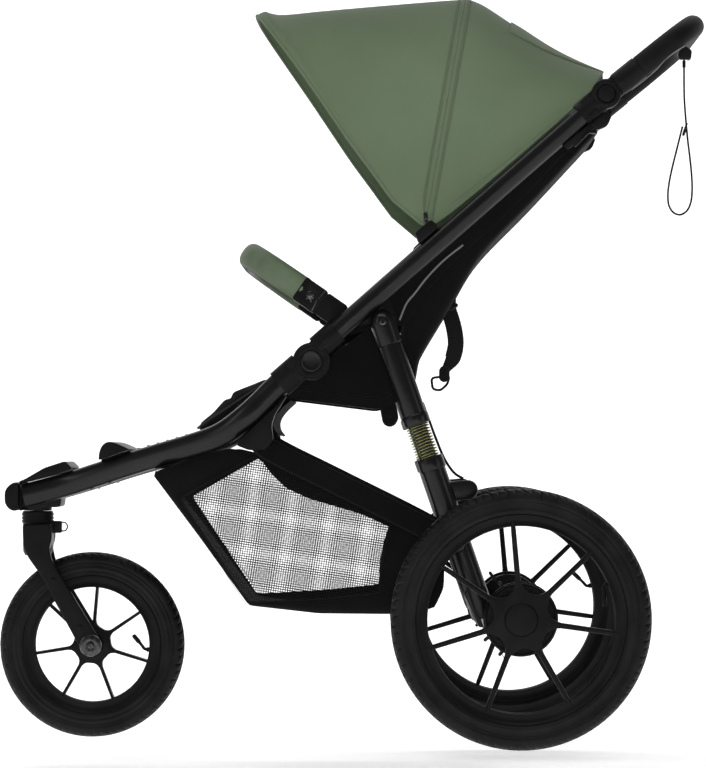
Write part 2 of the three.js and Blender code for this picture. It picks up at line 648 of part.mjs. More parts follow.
// Parking brake: a foot lever that turns on the beam.
function brakePedal() {
  const sleeve = barrel(BEAM, BEAM_R + 7, -24, 24);
  const tread = [at(213, 214), at(283, 222), at(293, 216), at(289, 208), at(215, 194)];
  const lever = plate(rounded(tread, 4), -34, 34, 2);
  const room = barrel(BEAM, BEAM_R + 0.5, -40, 40);
  add('brake_pedal', cut(join(sleeve, lever), room), 'plastic');
}

// Brake cable: leaves the leg behind the spring and runs down to the lug on the left leg.
function brakeCable() {
  const route = [at(114, 524), at(123, 500), at(134, 470), at(148, 437), at(163, 416), at(176, 408)];
  const curve = new THREE.CatmullRomCurve3(route.map((point) => in3D(point, -197)), false, 'centripetal');
  add('brake_cable', sweep(curve, ellipse(2, 2, 8), 14), 'rubber');
}

function lowerBars() {
  const line = [BAR_FRONT, at(-126, 456), at(108, 338), BAR_REAR];
  forEachSide((side, s) => {
    const body = plate(strip(line, 17), s * BAR_INNER, s * BAR_OUTER, 8);
    const eye = barrel(BAR_FRONT, 5.4, s * (BAR_INNER - 1), s * (BAR_OUTER + 1), 16);
    add(`lower_bar_${side}`, cut(body, eye), 'fabric');
  });
}

// ---------------------------------------------------------------- wheels
// A tyre's flat facets touch the ground, so its corners stand out by this factor.
function facetGrowth(wheel) {
  return 1 / Math.cos(Math.PI / wheel.facets);
}

function tyre(wheel) {
  const bead = wheel.rimR + 0.7;
  const w = wheel.halfWidth;
  const top = wheel.tyreR * facetGrowth(wheel);
  const height = top - bead;
  const halfSection = [
    [bead, 0.74 * w], [bead + 0.34 * height, w], [bead + 0.76 * height, 0.84 * w], [top, 0.36 * w],
  ];
  const mirrored = halfSection.map(([r, y]) => [r, -y]).reverse();
  return ring([...halfSection, ...mirrored], wheel.facets);
}

// Rim, tapered spokes and hub in one casting; s says which way the wheel's outer face looks.
function castWheel(wheel, s, star, hubInner, hubOuter, bore) {
  const lip = wheel.halfWidth * 0.84;
  const bed = wheel.halfWidth * 0.6;
  const rim = ring([[wheel.openingR, -bed], [wheel.openingR + 5, -lip], [wheel.rimR, -lip], [wheel.rimR, lip],
    [wheel.openingR + 5, lip], [wheel.openingR, bed]], wheel.facets);
  const centre = at(0, 0);
  const pieces = [rim, barrel(centre, wheel.hubR, s * hubInner, s * hubOuter, 20)];
  wheel.spokeAngles.forEach((degrees) => {
    const angle = THREE.MathUtils.degToRad(degrees);
    const dir = at(Math.cos(angle), Math.sin(angle));
    const reach = wheel.openingR + 8;
    const spoke = outline([along(centre, dir, 10, star.root), along(centre, dir, star.tip, 4.5),
      along(centre, dir, reach, 2.6), along(centre, dir, reach, -2.6), along(centre, dir, star.tip, -4.5),
      along(centre, dir, 10, -star.root)]);
    pieces.push(plate(spoke, s * (wheel.spokeY - 4), s * (wheel.spokeY + 4)));
  });
  return cut(join(...pieces, ...star.extra), bore);
}

function wheels() {
  forEachSide((side, s) => {
    const place = [REAR_WHEEL.x, s * TRACK_Y, REAR_WHEEL.tyreR];
    const centre = at(0, 0);
    const disc = barrel(centre, 43, s * 4, s * 17, 20);
    const drum = barrel(centre, 54, s * -22, s * -3, 20);
    const star = { root: 14, tip: 60, extra: [disc, drum] };
    const bore = barrel(centre, 6.4, s * -40, s * 10, 16);
    add(`rear_rim_${side}`, castWheel(REAR_WHEEL, s, star, -24, 19, bore), 'plastic', place);
    add(`rear_tyre_${side}`, tyre(REAR_WHEEL), 'rubber', place);
  });
  const place = [FRONT_WHEEL.x, 0, FRONT_WHEEL.tyreR];
  const centre = at(0, 0);
  const star = { root: 11, tip: 42, extra: [barrel(centre, 28, -7, 7, 20)] };
  const bore = barrel(centre, 6, -40, 40, 16);
  add('front_rim', castWheel(FRONT_WHEEL, 1, star, -25, 25, bore), 'plastic', place);
  add('front_tyre', tyre(FRONT_WHEEL), 'rubber', place);
}

// Swivelling fork: stem in the head bracket, crown over the tyre, two arms to the axle.
const ARM = { inner: 26.5, outer: 37 };

function fork() {
  const v = (z) => new THREE.Vector3(SWIVEL_X, 0, z);
  const axle = at(FRONT_WHEEL.x, FRONT_WHEEL.tyreR);
  const stem = rod(v(330), v(386), 8.5, 16);
  const collar = rod(v(338), v(356), 25, 20);
  const crown = rod(v(296), v(340), 23.5, 20);
  const bridge = plate(rounded([at(-514, 330), at(-468, 330), at(-464, 306), at(-462, 292), at(-480, 284),
    at(-508, 296)], 7), -ARM.outer, ARM.outer, 3);
  const arms = Object.values(SIDES).map((s) => {
    const edge = plate(strip([at(-489, 300), at(-474, 268), axle], 16.5), s * ARM.inner, s * ARM.outer, 6);
    return cut(edge, barrel(axle, 5.9, s * 20, s * 45, 16));
  });
  const lock = plate(rounded([at(-474, 322), at(-454, 322), at(-454, 339), at(-474, 339)], 2), -9, 9, 2);
  add('fork', join(stem, collar, crown, bridge, ...arms, lock), 'paint');

  const shaft = barrel(axle, 5.5, -ARM.outer - 1, ARM.outer + 1, 16);
  const head = (s) => barrel(axle, 17, s * (ARM.outer + GAP), s * (ARM.outer + 6), 20);
  const heads = Object.values(SIDES).map(head);
  add('front_axle', join(shaft, ...heads), 'plastic');
}

// ---------------------------------------------------------------- the whole object
frontTubes();
headBracket();
noseCover();
footRest();
calfRest();
foldHinges();
lowerBrackets();
seatBase();
basket();
upperTubes();
legBrackets();
seatBack();
canopyHubs();
canopy();
handle();
wristStrap();
bumper();
rearLegs();
rearAxleBeam();
brakePedal();
brakeCable();
lowerBars();
wheels();
fork();

export default group;
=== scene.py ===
import json
import math

import bmesh
import bpy
import numpy as np
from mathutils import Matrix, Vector


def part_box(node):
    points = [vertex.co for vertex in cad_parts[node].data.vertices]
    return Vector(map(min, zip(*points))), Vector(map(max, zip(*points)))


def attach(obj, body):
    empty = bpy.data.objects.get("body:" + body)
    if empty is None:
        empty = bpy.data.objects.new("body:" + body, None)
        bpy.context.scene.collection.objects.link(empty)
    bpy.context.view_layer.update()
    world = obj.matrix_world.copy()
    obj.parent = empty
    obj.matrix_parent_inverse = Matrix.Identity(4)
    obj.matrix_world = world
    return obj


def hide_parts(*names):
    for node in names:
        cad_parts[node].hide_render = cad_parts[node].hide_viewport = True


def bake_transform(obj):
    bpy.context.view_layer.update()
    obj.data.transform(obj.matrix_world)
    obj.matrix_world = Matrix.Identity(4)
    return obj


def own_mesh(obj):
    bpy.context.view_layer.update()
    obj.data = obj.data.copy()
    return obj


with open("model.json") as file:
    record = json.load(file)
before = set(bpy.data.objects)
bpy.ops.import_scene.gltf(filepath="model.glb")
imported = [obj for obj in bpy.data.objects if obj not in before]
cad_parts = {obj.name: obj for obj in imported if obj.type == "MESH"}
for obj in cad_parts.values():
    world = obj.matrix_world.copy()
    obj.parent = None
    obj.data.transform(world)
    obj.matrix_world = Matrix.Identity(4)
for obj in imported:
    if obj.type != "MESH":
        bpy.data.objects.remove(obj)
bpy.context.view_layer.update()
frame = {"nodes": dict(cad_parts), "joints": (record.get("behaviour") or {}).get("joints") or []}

SCENE = bpy.context.scene
SIDES = {"left": -1, "right": 1}


# ---------------------------------------------------------------- places that the frame gives
def joint(name):
    """The frame's joint of that name."""
    return next(j for j in frame["joints"] if j["name"] == name)


def pivot(name):
    """A joint's place in the side view, in millimetres."""
    x, _, z = joint(name)["pos_m"]
    return Vector((x, z)) * 1000


def node_span(node, axis):
    """A node's lowest and highest coordinate along one axis, in millimetres."""
    low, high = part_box(node)
    return low[axis] * 1000, high[axis] * 1000


HINGE = pivot("frame_fold")
LEG_PIVOT = pivot("rear_leg_fold")
BAR_FRONT = pivot("lower_bar_fold")
BAR_REAR_PIN = Vector((168, 305))
HANDLE_JOINT = pivot("handle_adjust")
REAR_AXLE = pivot("rear_wheel_spin_left")
FRONT_AXLE = pivot("front_wheel_spin")
SWIVEL_X = pivot("front_swivel").x
TRACK_Y = abs(joint("rear_wheel_spin_left")["pos_m"][1]) * 1000
FRAME_Y = abs(sum(node_span("upper_tube_left", 1))) / 2
TUBE_FOOT = Vector((-55, 598.5))
TUBE_DIR = (HANDLE_JOINT - TUBE_FOOT).normalized()
TUBE_LENGTH = (HANDLE_JOINT - TUBE_FOOT).length
HINGE_S = (HINGE - TUBE_FOOT).dot(TUBE_DIR)
LEG_DIR = Vector((math.sin(math.radians(19)), -math.cos(math.radians(19))))
GRIP_END = Vector((533, 1106.5))
HANDLE_DIR = (GRIP_END - HANDLE_JOINT).normalized()
BUMPER_FOOT = Vector((-20, 662))
BUMPER_FRONT = Vector((-151, 753))
BUMPER_DIR = (BUMPER_FRONT - BUMPER_FOOT).normalized()


# ---------------------------------------------------------------- points
MM = 0.001


def mm(x, z, y=0.0):
    """A point from millimetres: along, up and to the side."""
    return Vector((x, y, z)) * MM


def along(start, direction, s, p=0.0):
    """The side-view point s along a direction from a start, and p across it, on the upper side."""
    return Vector((start.x + direction.x * s - direction.y * p,
                   start.y + direction.y * s + direction.x * p))


def on_tube(s, p=0.0):
    """A side-view point s along the upper tube from its foot, and p across it."""
    return along(TUBE_FOOT, TUBE_DIR, s, p)


def by_joint(t, p):
    """A side-view point on the upper tube, t short of the handle's joint, and p across it."""
    return on_tube(TUBE_LENGTH - t, p)


def on_leg(t, p=0.0):
    """A side-view point t down the rear leg from its pivot, and p across it."""
    return along(LEG_PIVOT, LEG_DIR, t, p)


def polar(centre, radius, degrees):
    """A side-view point at a radius and an angle from a centre."""
    angle = math.radians(degrees)
    return Vector((centre[0] + radius * math.cos(angle), centre[1] + radius * math.sin(angle)))


def smooth(points, steps=8):
    """Points on a centripetal Catmull-Rom curve through the given ones."""
    points = [Vector(p) for p in points]
    ends = [points[0] * 2 - points[1], *points, points[-1] * 2 - points[-2]]
    made = []
    for p0, p1, p2, p3 in zip(ends, ends[1:], ends[2:], ends[3:]):
        t1 = max((p1 - p0).length, 1e-9) ** 0.5
        t2 = t1 + max((p2 - p1).length, 1e-9) ** 0.5
        t3 = t2 + max((p3 - p2).length, 1e-9) ** 0.5
        for i in range(steps):
            t = t1 + (t2 - t1) * i / steps
            a1 = p0.lerp(p1, t / t1)
            a2 = p1.lerp(p2, (t - t1) / (t2 - t1))
            a3 = p2.lerp(p3, (t - t2) / (t3 - t2))
            b1 = a1.lerp(a2, t / t2)
            b2 = a2.lerp(a3, (t - t1) / (t3 - t1))
            made.append(b1.lerp(b2, (t - t1) / (t2 - t1)))
    return [*made, points[-1]]


def even(points, count):
    """The same line, as count points at even distances."""
    line = np.array([tuple(p) for p in points])
    where = np.concatenate([[0], np.cumsum(np.linalg.norm(np.diff(line, axis=0), axis=1))])
    wanted = np.linspace(0, where[-1], count)
    return [Vector(p) for p in np.stack([np.interp(wanted, where, c) for c in line.T], axis=1)]


def oval(half_width, half_depth, count=32, power=2.0):
    """A ring of offsets. A power above 2 makes it squarer."""
    ring = []
    for i in range(count):
        c, s = math.cos(2 * math.pi * i / count), math.sin(2 * math.pi * i / count)
        ring.append((math.copysign(abs(c) ** (2 / power), c) * half_width,
                     math.copysign(abs(s) ** (2 / power), s) * half_depth))
    return ring


def rounded(points, radius, steps=4):
    """An outline whose corners are rounded."""
    made = []
    points = [Vector(p) for p in points]
    for i, corner in enumerate(points):
        before, after = points[i - 1], points[(i + 1) % len(points)]
        start = corner + (before - corner).normalized() * min(radius, (before - corner).length / 2)
        end = corner + (after - corner).normalized() * min(radius, (after - corner).length / 2)
        for k in range(steps + 1):
            t = k / steps
            made.append(start * (1 - t) ** 2 + corner * 2 * t * (1 - t) + end * t ** 2)
    return made


def strip(points, half_width, steps=10):
    """A strip of even width along a line, with round ends."""
    points = [Vector(p) for p in points]
    upper, lower = [], []
    for i, p in enumerate(points):
        d = (points[min(i + 1, len(points) - 1)] - points[max(i - 1, 0)]).normalized()
        upper.append(p + Vector((-d.y, d.x)) * half_width)
        lower.append(p - Vector((-d.y, d.x)) * half_width)

    def round_end(at, first):
        """The half circle round an end, from the point first on."""
        start = math.atan2(first.y - at.y, first.x - at.x)
        turns = [start - math.pi * k / steps for k in range(1, steps)]
        return [at + Vector((math.cos(a), math.sin(a))) * half_width for a in turns]

    return [*upper, *round_end(points[-1], upper[-1]), *lower[::-1], *round_end(points[0], lower[0])]


def u_line(origin, direction, start, reach, half_width, corner):
    """The middle line of a U that starts and ends at start along a direction: two arms, a cross run and
    the round corners between them."""
    def at(s, y):
        """The point s along the direction and y to the side."""
        p = along(origin, direction, s)
        return mm(*p, y)

    half = []
    for k in range(15):
        angle = math.pi / 2 * k / 14
        half.append(at(reach - corner + corner * math.sin(angle),
                       half_width - corner + corner * math.cos(angle)))
    arm = [at(start + (reach - corner - start) * k / 8, half_width) for k in range(8)]
    half = [*arm, *half]
    across = [at(reach, (half_width - corner) * (1 - k / 5)) for k in range(1, 10)]
    other = [Vector((p.x, -p.y, p.z)) for p in half]
    return [*other, *across[::-1], *half[::-1]]


# ---------------------------------------------------------------- meshes
def new_piece(name, mesh, finish):
    """An object for a mesh, in the scene, with its finish."""
    piece = bpy.data.objects.new(name, mesh)
    SCENE.collection.objects.link(piece)
    mesh.materials.clear()
    mesh.materials.append(FINISH[finish])
    return piece


def skin(name, rings, finish, wrap=True, close=False, caps=True):
    """A surface through rings of points that all have the same count. wrap closes each ring, close joins
    the last ring to the first, and caps fill the two ends. Its thread map is in metres."""
    points = np.array([[tuple(p) for p in ring] for ring in rings])
    rows, count, _ = points.shape
    if wrap:
        around = np.linalg.norm(np.roll(points, -1, axis=1) - points, axis=2).mean(0)
    else:
        around = np.linalg.norm(np.diff(points, axis=1), axis=2).mean(0)
    onwards = np.roll(points, -1, axis=0) - points if close else np.diff(points, axis=0)
    u = np.concatenate([[0], np.cumsum(around)])
    v = np.concatenate([[0], np.cumsum(np.linalg.norm(onwards, axis=2).mean(1))])
    faces, thread = [], []
    for i in range(rows if close else rows - 1):
        for j in range(count if wrap else count - 1):
            k, n = (j + 1) % count, (i + 1) % rows
            faces.append((i * count + j, i * count + k, n * count + k, n * count + j))
            thread += [(u[j], v[i]), (u[j + 1], v[i]), (u[j + 1], v[i + 1]), (u[j], v[i + 1])]
    if wrap and caps and not close:
        faces.append(tuple(reversed(range(count))))
        faces.append(tuple(range((rows - 1) * count, rows * count)))
        thread += [(u[j], 0) for j in reversed(range(count))]
        thread += [(u[j], v[-1]) for j in range(count)]
    mesh = bpy.data.meshes.new(name)
    mesh.from_pydata(points.reshape(-1, 3).tolist(), [], faces)
    layer = mesh.uv_layers.new(name="thread")
    layer.data.foreach_set("uv", np.array(thread, np.float32).ravel())
    tidy_mesh(mesh)
    return new_piece(name, mesh, finish)


def tidy_mesh(mesh, bevel=0.0, steps=2, angle=40):
    """Merges points that coincide, turns faces outwards, and rounds sharp edges by bevel millimetres."""
    bm = bmesh.new()
    bm.from_mesh(mesh)
    bmesh.ops.remove_doubles(bm, verts=bm.verts, dist=2e-6)
    bmesh.ops.recalc_face_normals(bm, faces=bm.faces)
    if bevel:
        sharp = [e for e in bm.edges if e.is_manifold and e.calc_face_angle(0) > math.radians(angle)]
        bmesh.ops.bevel(bm, geom=sharp, offset=bevel * MM, segments=steps, profile=0.5,
                        affect="EDGES", clamp_overlap=True)
    bm.to_mesh(mesh)
    bm.free()


def plate(name, outline, y0, y1, finish, bevel=1.0, steps=3):
    """A side-view outline in millimetres, given thickness from y0 to y1, with rounded edges."""
    bm = bmesh.new()
    face = bm.faces.new([bm.verts.new(mm(p[0], p[1], y0)) for p in outline])
    made = bmesh.ops.extrude_face_region(bm, geom=[face])
    moved = [g for g in made["geom"] if isinstance(g, bmesh.types.BMVert)]
    bmesh.ops.translate(bm, verts=moved, vec=Vector((0, (y1 - y0) * MM, 0)))
    mesh = bpy.data.meshes.new(name)
    bm.to_mesh(mesh)
    bm.free()
    tidy_mesh(mesh, bevel, steps)
    return new_piece(name, mesh, finish)


def tube(name, line, section, finish, sizes=None, side=(0, 1, 0), caps=True):
    """A section in millimetres, swept along a line. sizes scale it at each point, in one or both ways."""
    side = Vector(side)
    rings = []
    for i, p in enumerate(line):
        ahead = (line[min(i + 1, len(line) - 1)] - line[max(i - 1, 0)]).normalized()
        side = (side - ahead * side.dot(ahead)).normalized()
        up = side.cross(ahead)
        size = sizes[i] if sizes else 1
        wide, deep = size if isinstance(size, tuple) else (size, size)
        rings.append([p + (side * a * wide + up * b * deep) * MM for a, b in section])
    return skin(name, rings, finish, caps=caps)


def lathe(name, profile, place, finish, steps=72, axis=(0, 1, 0), wave=None):
    """A closed outline of (radius, height) pairs in millimetres, turned about an axis through place.
    wave(turn, index) gives the millimetres to add to a point's radius and height."""
    axis = Vector(axis).normalized()
    first = Vector((1, 0, 0)) if abs(axis.x) < 0.9 else Vector((0, 1, 0))
    first = (first - axis * first.dot(axis)).normalized()
    second = first.cross(axis)
    rings = []
    for i in range(steps):
        turn = 2 * math.pi * i / steps
        out = first * math.cos(turn) + second * math.sin(turn)
        ring = []
        for k, (r, h) in enumerate(profile):
            more, lift = wave(turn, k) if wave else (0, 0)
            ring.append(place + (out * (r + more) + axis * (h + lift)) * MM)
        rings.append(ring)
    return skin(name, rings, finish, close=True)


def disc(radius, low, high, edge=0.8):
    """A lathe profile for a plain round part with eased edges, from the axis out and back."""
    return [(0, low), (radius - edge, low), (radius - edge * 0.3, low + edge * 0.3),
            (radius, low + edge), (radius, high - edge), (radius - edge * 0.3, high - edge * 0.3),
            (radius - edge, high), (0, high)]


def joined(name, pieces):
    """Several meshes as one piece."""
    bm = bmesh.new()
    finishes = []
    for piece in pieces:
        material = piece.data.materials[0]
        if material not in finishes:
            finishes.append(material)
        piece.data.polygons.foreach_set("material_index",
                                        [finishes.index(material)] * len(piece.data.polygons))
        if "thread" not in piece.data.uv_layers:
            piece.data.uv_layers.new(name="thread")
        bm.from_mesh(piece.data)
    mesh = bpy.data.meshes.new(name)
    bm.to_mesh(mesh)
    bm.free()
    for piece in pieces:
        bpy.data.objects.remove(piece)
    made = bpy.data.objects.new(name, mesh)
    SCENE.collection.objects.link(made)
    mesh.materials.clear()
    for material in finishes:
        mesh.materials.append(material)
    return made


def applied(piece):
    """Bakes the piece's modifiers into its mesh."""
    graph = bpy.context.evaluated_depsgraph_get()
    mesh = bpy.data.meshes.new_from_object(piece.evaluated_get(graph))
    piece.modifiers.clear()
    piece.data = mesh
    return piece


def thickened(piece, thickness, offset=0.0):
    """Gives a sheet its thickness, in millimetres. offset -1 grows it inwards, 1 outwards."""
    solidify = piece.modifiers.new("thickness", "SOLIDIFY")
    solidify.thickness = thickness * MM
    solidify.offset = offset
    solidify.use_even_offset = True
    return applied(piece)


def subdivided(piece):
    """Smooths a piece by one level of subdivision."""
    modifier = piece.modifiers.new("fine", "SUBSURF")
    modifier.levels = 1
    modifier.render_levels = 1
    return applied(piece)


def place(piece, body, slot, *nodes, angle=38):
    """Shades a finished piece, sets what it rides on, and hides the nodes it stands for. Its slot is not
    used.
    """
    piece.data.shade_smooth()
    piece.data.set_sharp_from_angle(angle=math.radians(angle))
    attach(piece, body)
    if nodes:
        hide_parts(*nodes)
    return piece


def refined(node, body, slot, finish, bevel=0.8):
    """A CAD node's own shape with rounded edges and smooth shading."""
    source = frame["nodes"][node].data
    bm = bmesh.new()
    bm.from_mesh(source)
    bmesh.ops.remove_doubles(bm, verts=bm.verts, dist=5e-6)
    bmesh.ops.dissolve_limit(bm, angle_limit=math.radians(1), verts=bm.verts, edges=bm.edges)
    mesh = bpy.data.meshes.new(node + "_finished")
    bm.to_mesh(mesh)
    bm.free()
    tidy_mesh(mesh, bevel)
    return place(new_piece(node + "_finished", mesh, finish), body, slot, node)


# ---------------------------------------------------------------- materials
def shader(name, roughness, metallic=0.0, **sockets):
    """A new material and its main shader, with the values that are the same all over set on it."""
    material = bpy.data.materials.new(name)
    material.use_nodes = True
    surface = material.node_tree.nodes["Principled BSDF"]
    surface.inputs["Roughness"].default_value = roughness
    surface.inputs["Metallic"].default_value = metallic
    for socket, value in sockets.items():
        surface.inputs[socket.replace("_", " ")].default_value = value
    return material, material.node_tree, surface


def node(tree, kind, links=None, **values):
    """A new node with some inputs linked and others set."""
    made = tree.nodes.new("ShaderNode" + kind)
    for socket, source in (links or {}).items():
        tree.links.new(source, made.inputs[socket])
    for socket, value in values.items():
        made.inputs[socket.replace("_", " ")].default_value = value
    return made


def sums(tree, operation, first, second):
    """A Math node's result, from two sockets or numbers."""
    made = tree.nodes.new("ShaderNodeMath")
    made.operation = operation
    for socket, source in zip(made.inputs, (first, second)):
        if isinstance(source, (int, float)):
            socket.default_value = source
        else:
            tree.links.new(source, socket)
    return made.outputs[0]


def noise(tree, scale, detail):
    """A noise from 0 to 1 over the piece's own coordinates."""
    where = node(tree, "TexCoord").outputs["Object"]
    return node(tree, "TexNoise", {"Vector": where}, Scale=scale, Detail=detail).outputs["Fac"]


def tinted(tree, surface, factor, dark, light):
    """The base colour runs from dark to light with a factor from 0 to 1."""
    ramp = node(tree, "ValToRGB", {"Fac": factor})
    ramp.color_ramp.elements[0].color = (*dark, 1)
    ramp.color_ramp.elements[1].color = (*light, 1)
    ramp.color_ramp.elements[0].position = 0.3
    ramp.color_ramp.elements[1].position = 0.7
    tree.links.new(ramp.outputs["Color"], surface.inputs["Base Color"])


def ranged(tree, surface, socket, factor, low, high):
    """A shader value that runs from low to high with a factor from 0 to 1."""
    spread = node(tree, "MapRange", {"Value": factor}, To_Min=low, To_Max=high)
    tree.links.new(spread.outputs["Result"], surface.inputs[socket])


def bumped(tree, surface, height, strength, depth):
    """depth is in millimetres."""
    bump = node(tree, "Bump", {"Height": height}, Strength=strength, Distance=depth * MM)
    tree.links.new(bump.outputs["Normal"], surface.inputs["Normal"])


def moulded(name, dark, light, roughness, grain=0.12, scale=900):
    """Moulded plastic: a fine spark-eroded grain and faint handling marks."""
    material, tree, surface = shader(name, roughness, Specular_IOR_Level=0.13)
    tinted(tree, surface, noise(tree, 14, 4), dark, light)
    ranged(tree, surface, "Roughness", noise(tree, 30, 5), roughness - 0.06, roughness + 0.08)
    bumped(tree, surface, noise(tree, scale, 3), grain, 0.25)
    return material


def painted(name, dark, light):
    """Satin powder coat on tube: a slight orange peel under a clear gloss."""
    material, tree, surface = shader(name, 0.34, Specular_IOR_Level=0.3, Coat_Weight=0.16,
                                     Coat_Roughness=0.2)
    tinted(tree, surface, noise(tree, 9, 3), dark, light)
    ranged(tree, surface, "Roughness", noise(tree, 45, 5), 0.26, 0.36)
    bumped(tree, surface, noise(tree, 420, 2), 0.05, 0.3)
    return material


def rubbery(name, dark, light, roughness=0.62):
    """Tyre rubber: dull, with dusty lighter patches and a fine grain."""
    material, tree, surface = shader(name, roughness, Specular_IOR_Level=0.22)
    tinted(tree, surface, noise(tree, 22, 6), dark, light)
    ranged(tree, surface, "Roughness", noise(tree, 60, 4), roughness - 0.08, roughness + 0.1)
    bumped(tree, surface, noise(tree, 700, 3), 0.18, 0.3)
    return material


def woven(name, dark, light, pitch=1.1, sheen=0.25, roughness=0.85, depth=0.3):
    """Plain-weave cloth: warp and weft threads along the thread map, with uneven dye and painted shade in
    the hollows between threads.
    """
    material, tree, surface = shader(name, roughness, Sheen_Weight=sheen, Sheen_Roughness=0.5,
                                     Specular_IOR_Level=0.1)
    thread = node(tree, "UVMap")
    thread.uv_map = "thread"
    parts = node(tree, "SeparateXYZ", {"Vector": thread.outputs["UV"]})
    per_metre = 2 * math.pi / (2 * pitch * MM)
    warp = sums(tree, "SINE", sums(tree, "MULTIPLY", parts.outputs["X"], per_metre), 0)
    weft = sums(tree, "SINE", sums(tree, "MULTIPLY", parts.outputs["Y"], per_metre), 0)
    weave = sums(tree, "MULTIPLY", sums(tree, "MULTIPLY", warp, weft), 0.5)
    fibre = noise(tree, 2600, 3)
    height = sums(tree, "ADD", sums(tree, "ADD", weave, 0.5), sums(tree, "MULTIPLY", fibre, 0.6))
    # The colour follows random dye and the threads' height, so the hollows between threads come out darker:
    # painted shade.
    dye_and_weave_shade = sums(tree, "ADD", sums(tree, "MULTIPLY", noise(tree, 7, 4), 0.7),
               sums(tree, "MULTIPLY", height, 0.2))
    tinted(tree, surface, dye_and_weave_shade, dark, light)
    ranged(tree, surface, "Roughness", fibre, roughness - 0.05, roughness + 0.08)
    bumped(tree, surface, height, 0.45, depth)
    return material


def leathery(name, dark, light, roughness=0.5, cell=650, grain=0.35):
    """Leatherette: small rounded cells with fine creases between them."""
    material, tree, surface = shader(name, roughness, Specular_IOR_Level=0.18)
    where = node(tree, "TexCoord").outputs["Object"]
    cells = node(tree, "TexVoronoi", {"Vector": where}, Scale=cell)
    cells.feature = "SMOOTH_F1"
    height = sums(tree, "SUBTRACT", 1.0, cells.outputs["Distance"])
    tinted(tree, surface, noise(tree, 25, 5), dark, light)
    ranged(tree, surface, "Roughness", cells.outputs["Distance"], roughness - 0.06, roughness + 0.12)
    bumped(tree, surface, height, grain, 0.25)
    return material


def metallic(name, dark, light, roughness=0.28):
    """Drawn wire or a plated screw: fine lengthwise marks."""
    material, tree, surface = shader(name, roughness, 1.0)
    tinted(tree, surface, noise(tree, 120, 4), dark, light)
    ranged(tree, surface, "Roughness", noise(tree, 300, 3), roughness - 0.06, roughness + 0.12)
    bumped(tree, surface, noise(tree, 1500, 2), 0.1, 0.1)
    return material


FINISH = {
    "paint": painted("frame_paint", (0.003, 0.003, 0.0032), (0.005, 0.005, 0.0052)),
    "plastic": moulded("black_plastic", (0.004, 0.004, 0.0042), (0.007, 0.007, 0.0072), 0.42),
    "fork": moulded("fork_paint", (0.004, 0.004, 0.0042), (0.007, 0.007, 0.0072), 0.38, 0.06, 700),
    "wheel": moulded("wheel_plastic", (0.004, 0.004, 0.0042), (0.0075, 0.0075, 0.0077), 0.38, 0.06, 500),
    "tyre": rubbery("tyre_rubber", (0.002, 0.002, 0.0021), (0.0085, 0.0085, 0.009), 0.5),
    "cloth": woven("black_cloth", (0.0025, 0.0025, 0.0028), (0.0055, 0.0055, 0.006), sheen=0.05),
    "webbing": woven("black_webbing", (0.003, 0.003, 0.0032), (0.007, 0.007, 0.0073), 1.8, 0.08, 0.7, 0.6),
    "piping": woven("grey_piping", (0.10, 0.10, 0.10), (0.17, 0.17, 0.17), 0.9, 0.3, 0.7),
    "edging": woven("dark_piping", (0.012, 0.012, 0.0125), (0.024, 0.024, 0.025), 0.9, 0.2, 0.7),
    "net": woven("net_thread", (0.004, 0.004, 0.0042), (0.009, 0.009, 0.0095), 0.8, 0.1, 0.6, 0.2),
    "green": woven("green_cloth", (0.100, 0.135, 0.080), (0.122, 0.162, 0.100), 0.9, 0.12, 0.85, 0.22),
    # Dark green thread; the same colour also serves as painted shade under the bumper bar and along the
    # canopy flap.
    "stitch": woven("green_thread_and_shade", (0.006, 0.010, 0.005), (0.012, 0.018, 0.010), 0.6, 0.1, 0.7, 0.2),
    "grip": leathery("grip_foam", (0.003, 0.003, 0.0032), (0.006, 0.006, 0.0062), 0.6, 800, 0.5),
    "leather": leathery("green_leather", (0.092, 0.122, 0.076), (0.115, 0.150, 0.096), 0.5),
    "spring": metallic("spring_wire", (0.22, 0.23, 0.08), (0.36, 0.37, 0.16), 0.16),
    "steel": metallic("plated_steel", (0.4, 0.4, 0.4), (0.6, 0.6, 0.58)),
    "screw": metallic("black_screw", (0.07, 0.07, 0.07), (0.14, 0.14, 0.14), 0.25),
    "cable": rubbery("cable_sheath", (0.002, 0.002, 0.002), (0.004, 0.004, 0.004), 0.45),
}


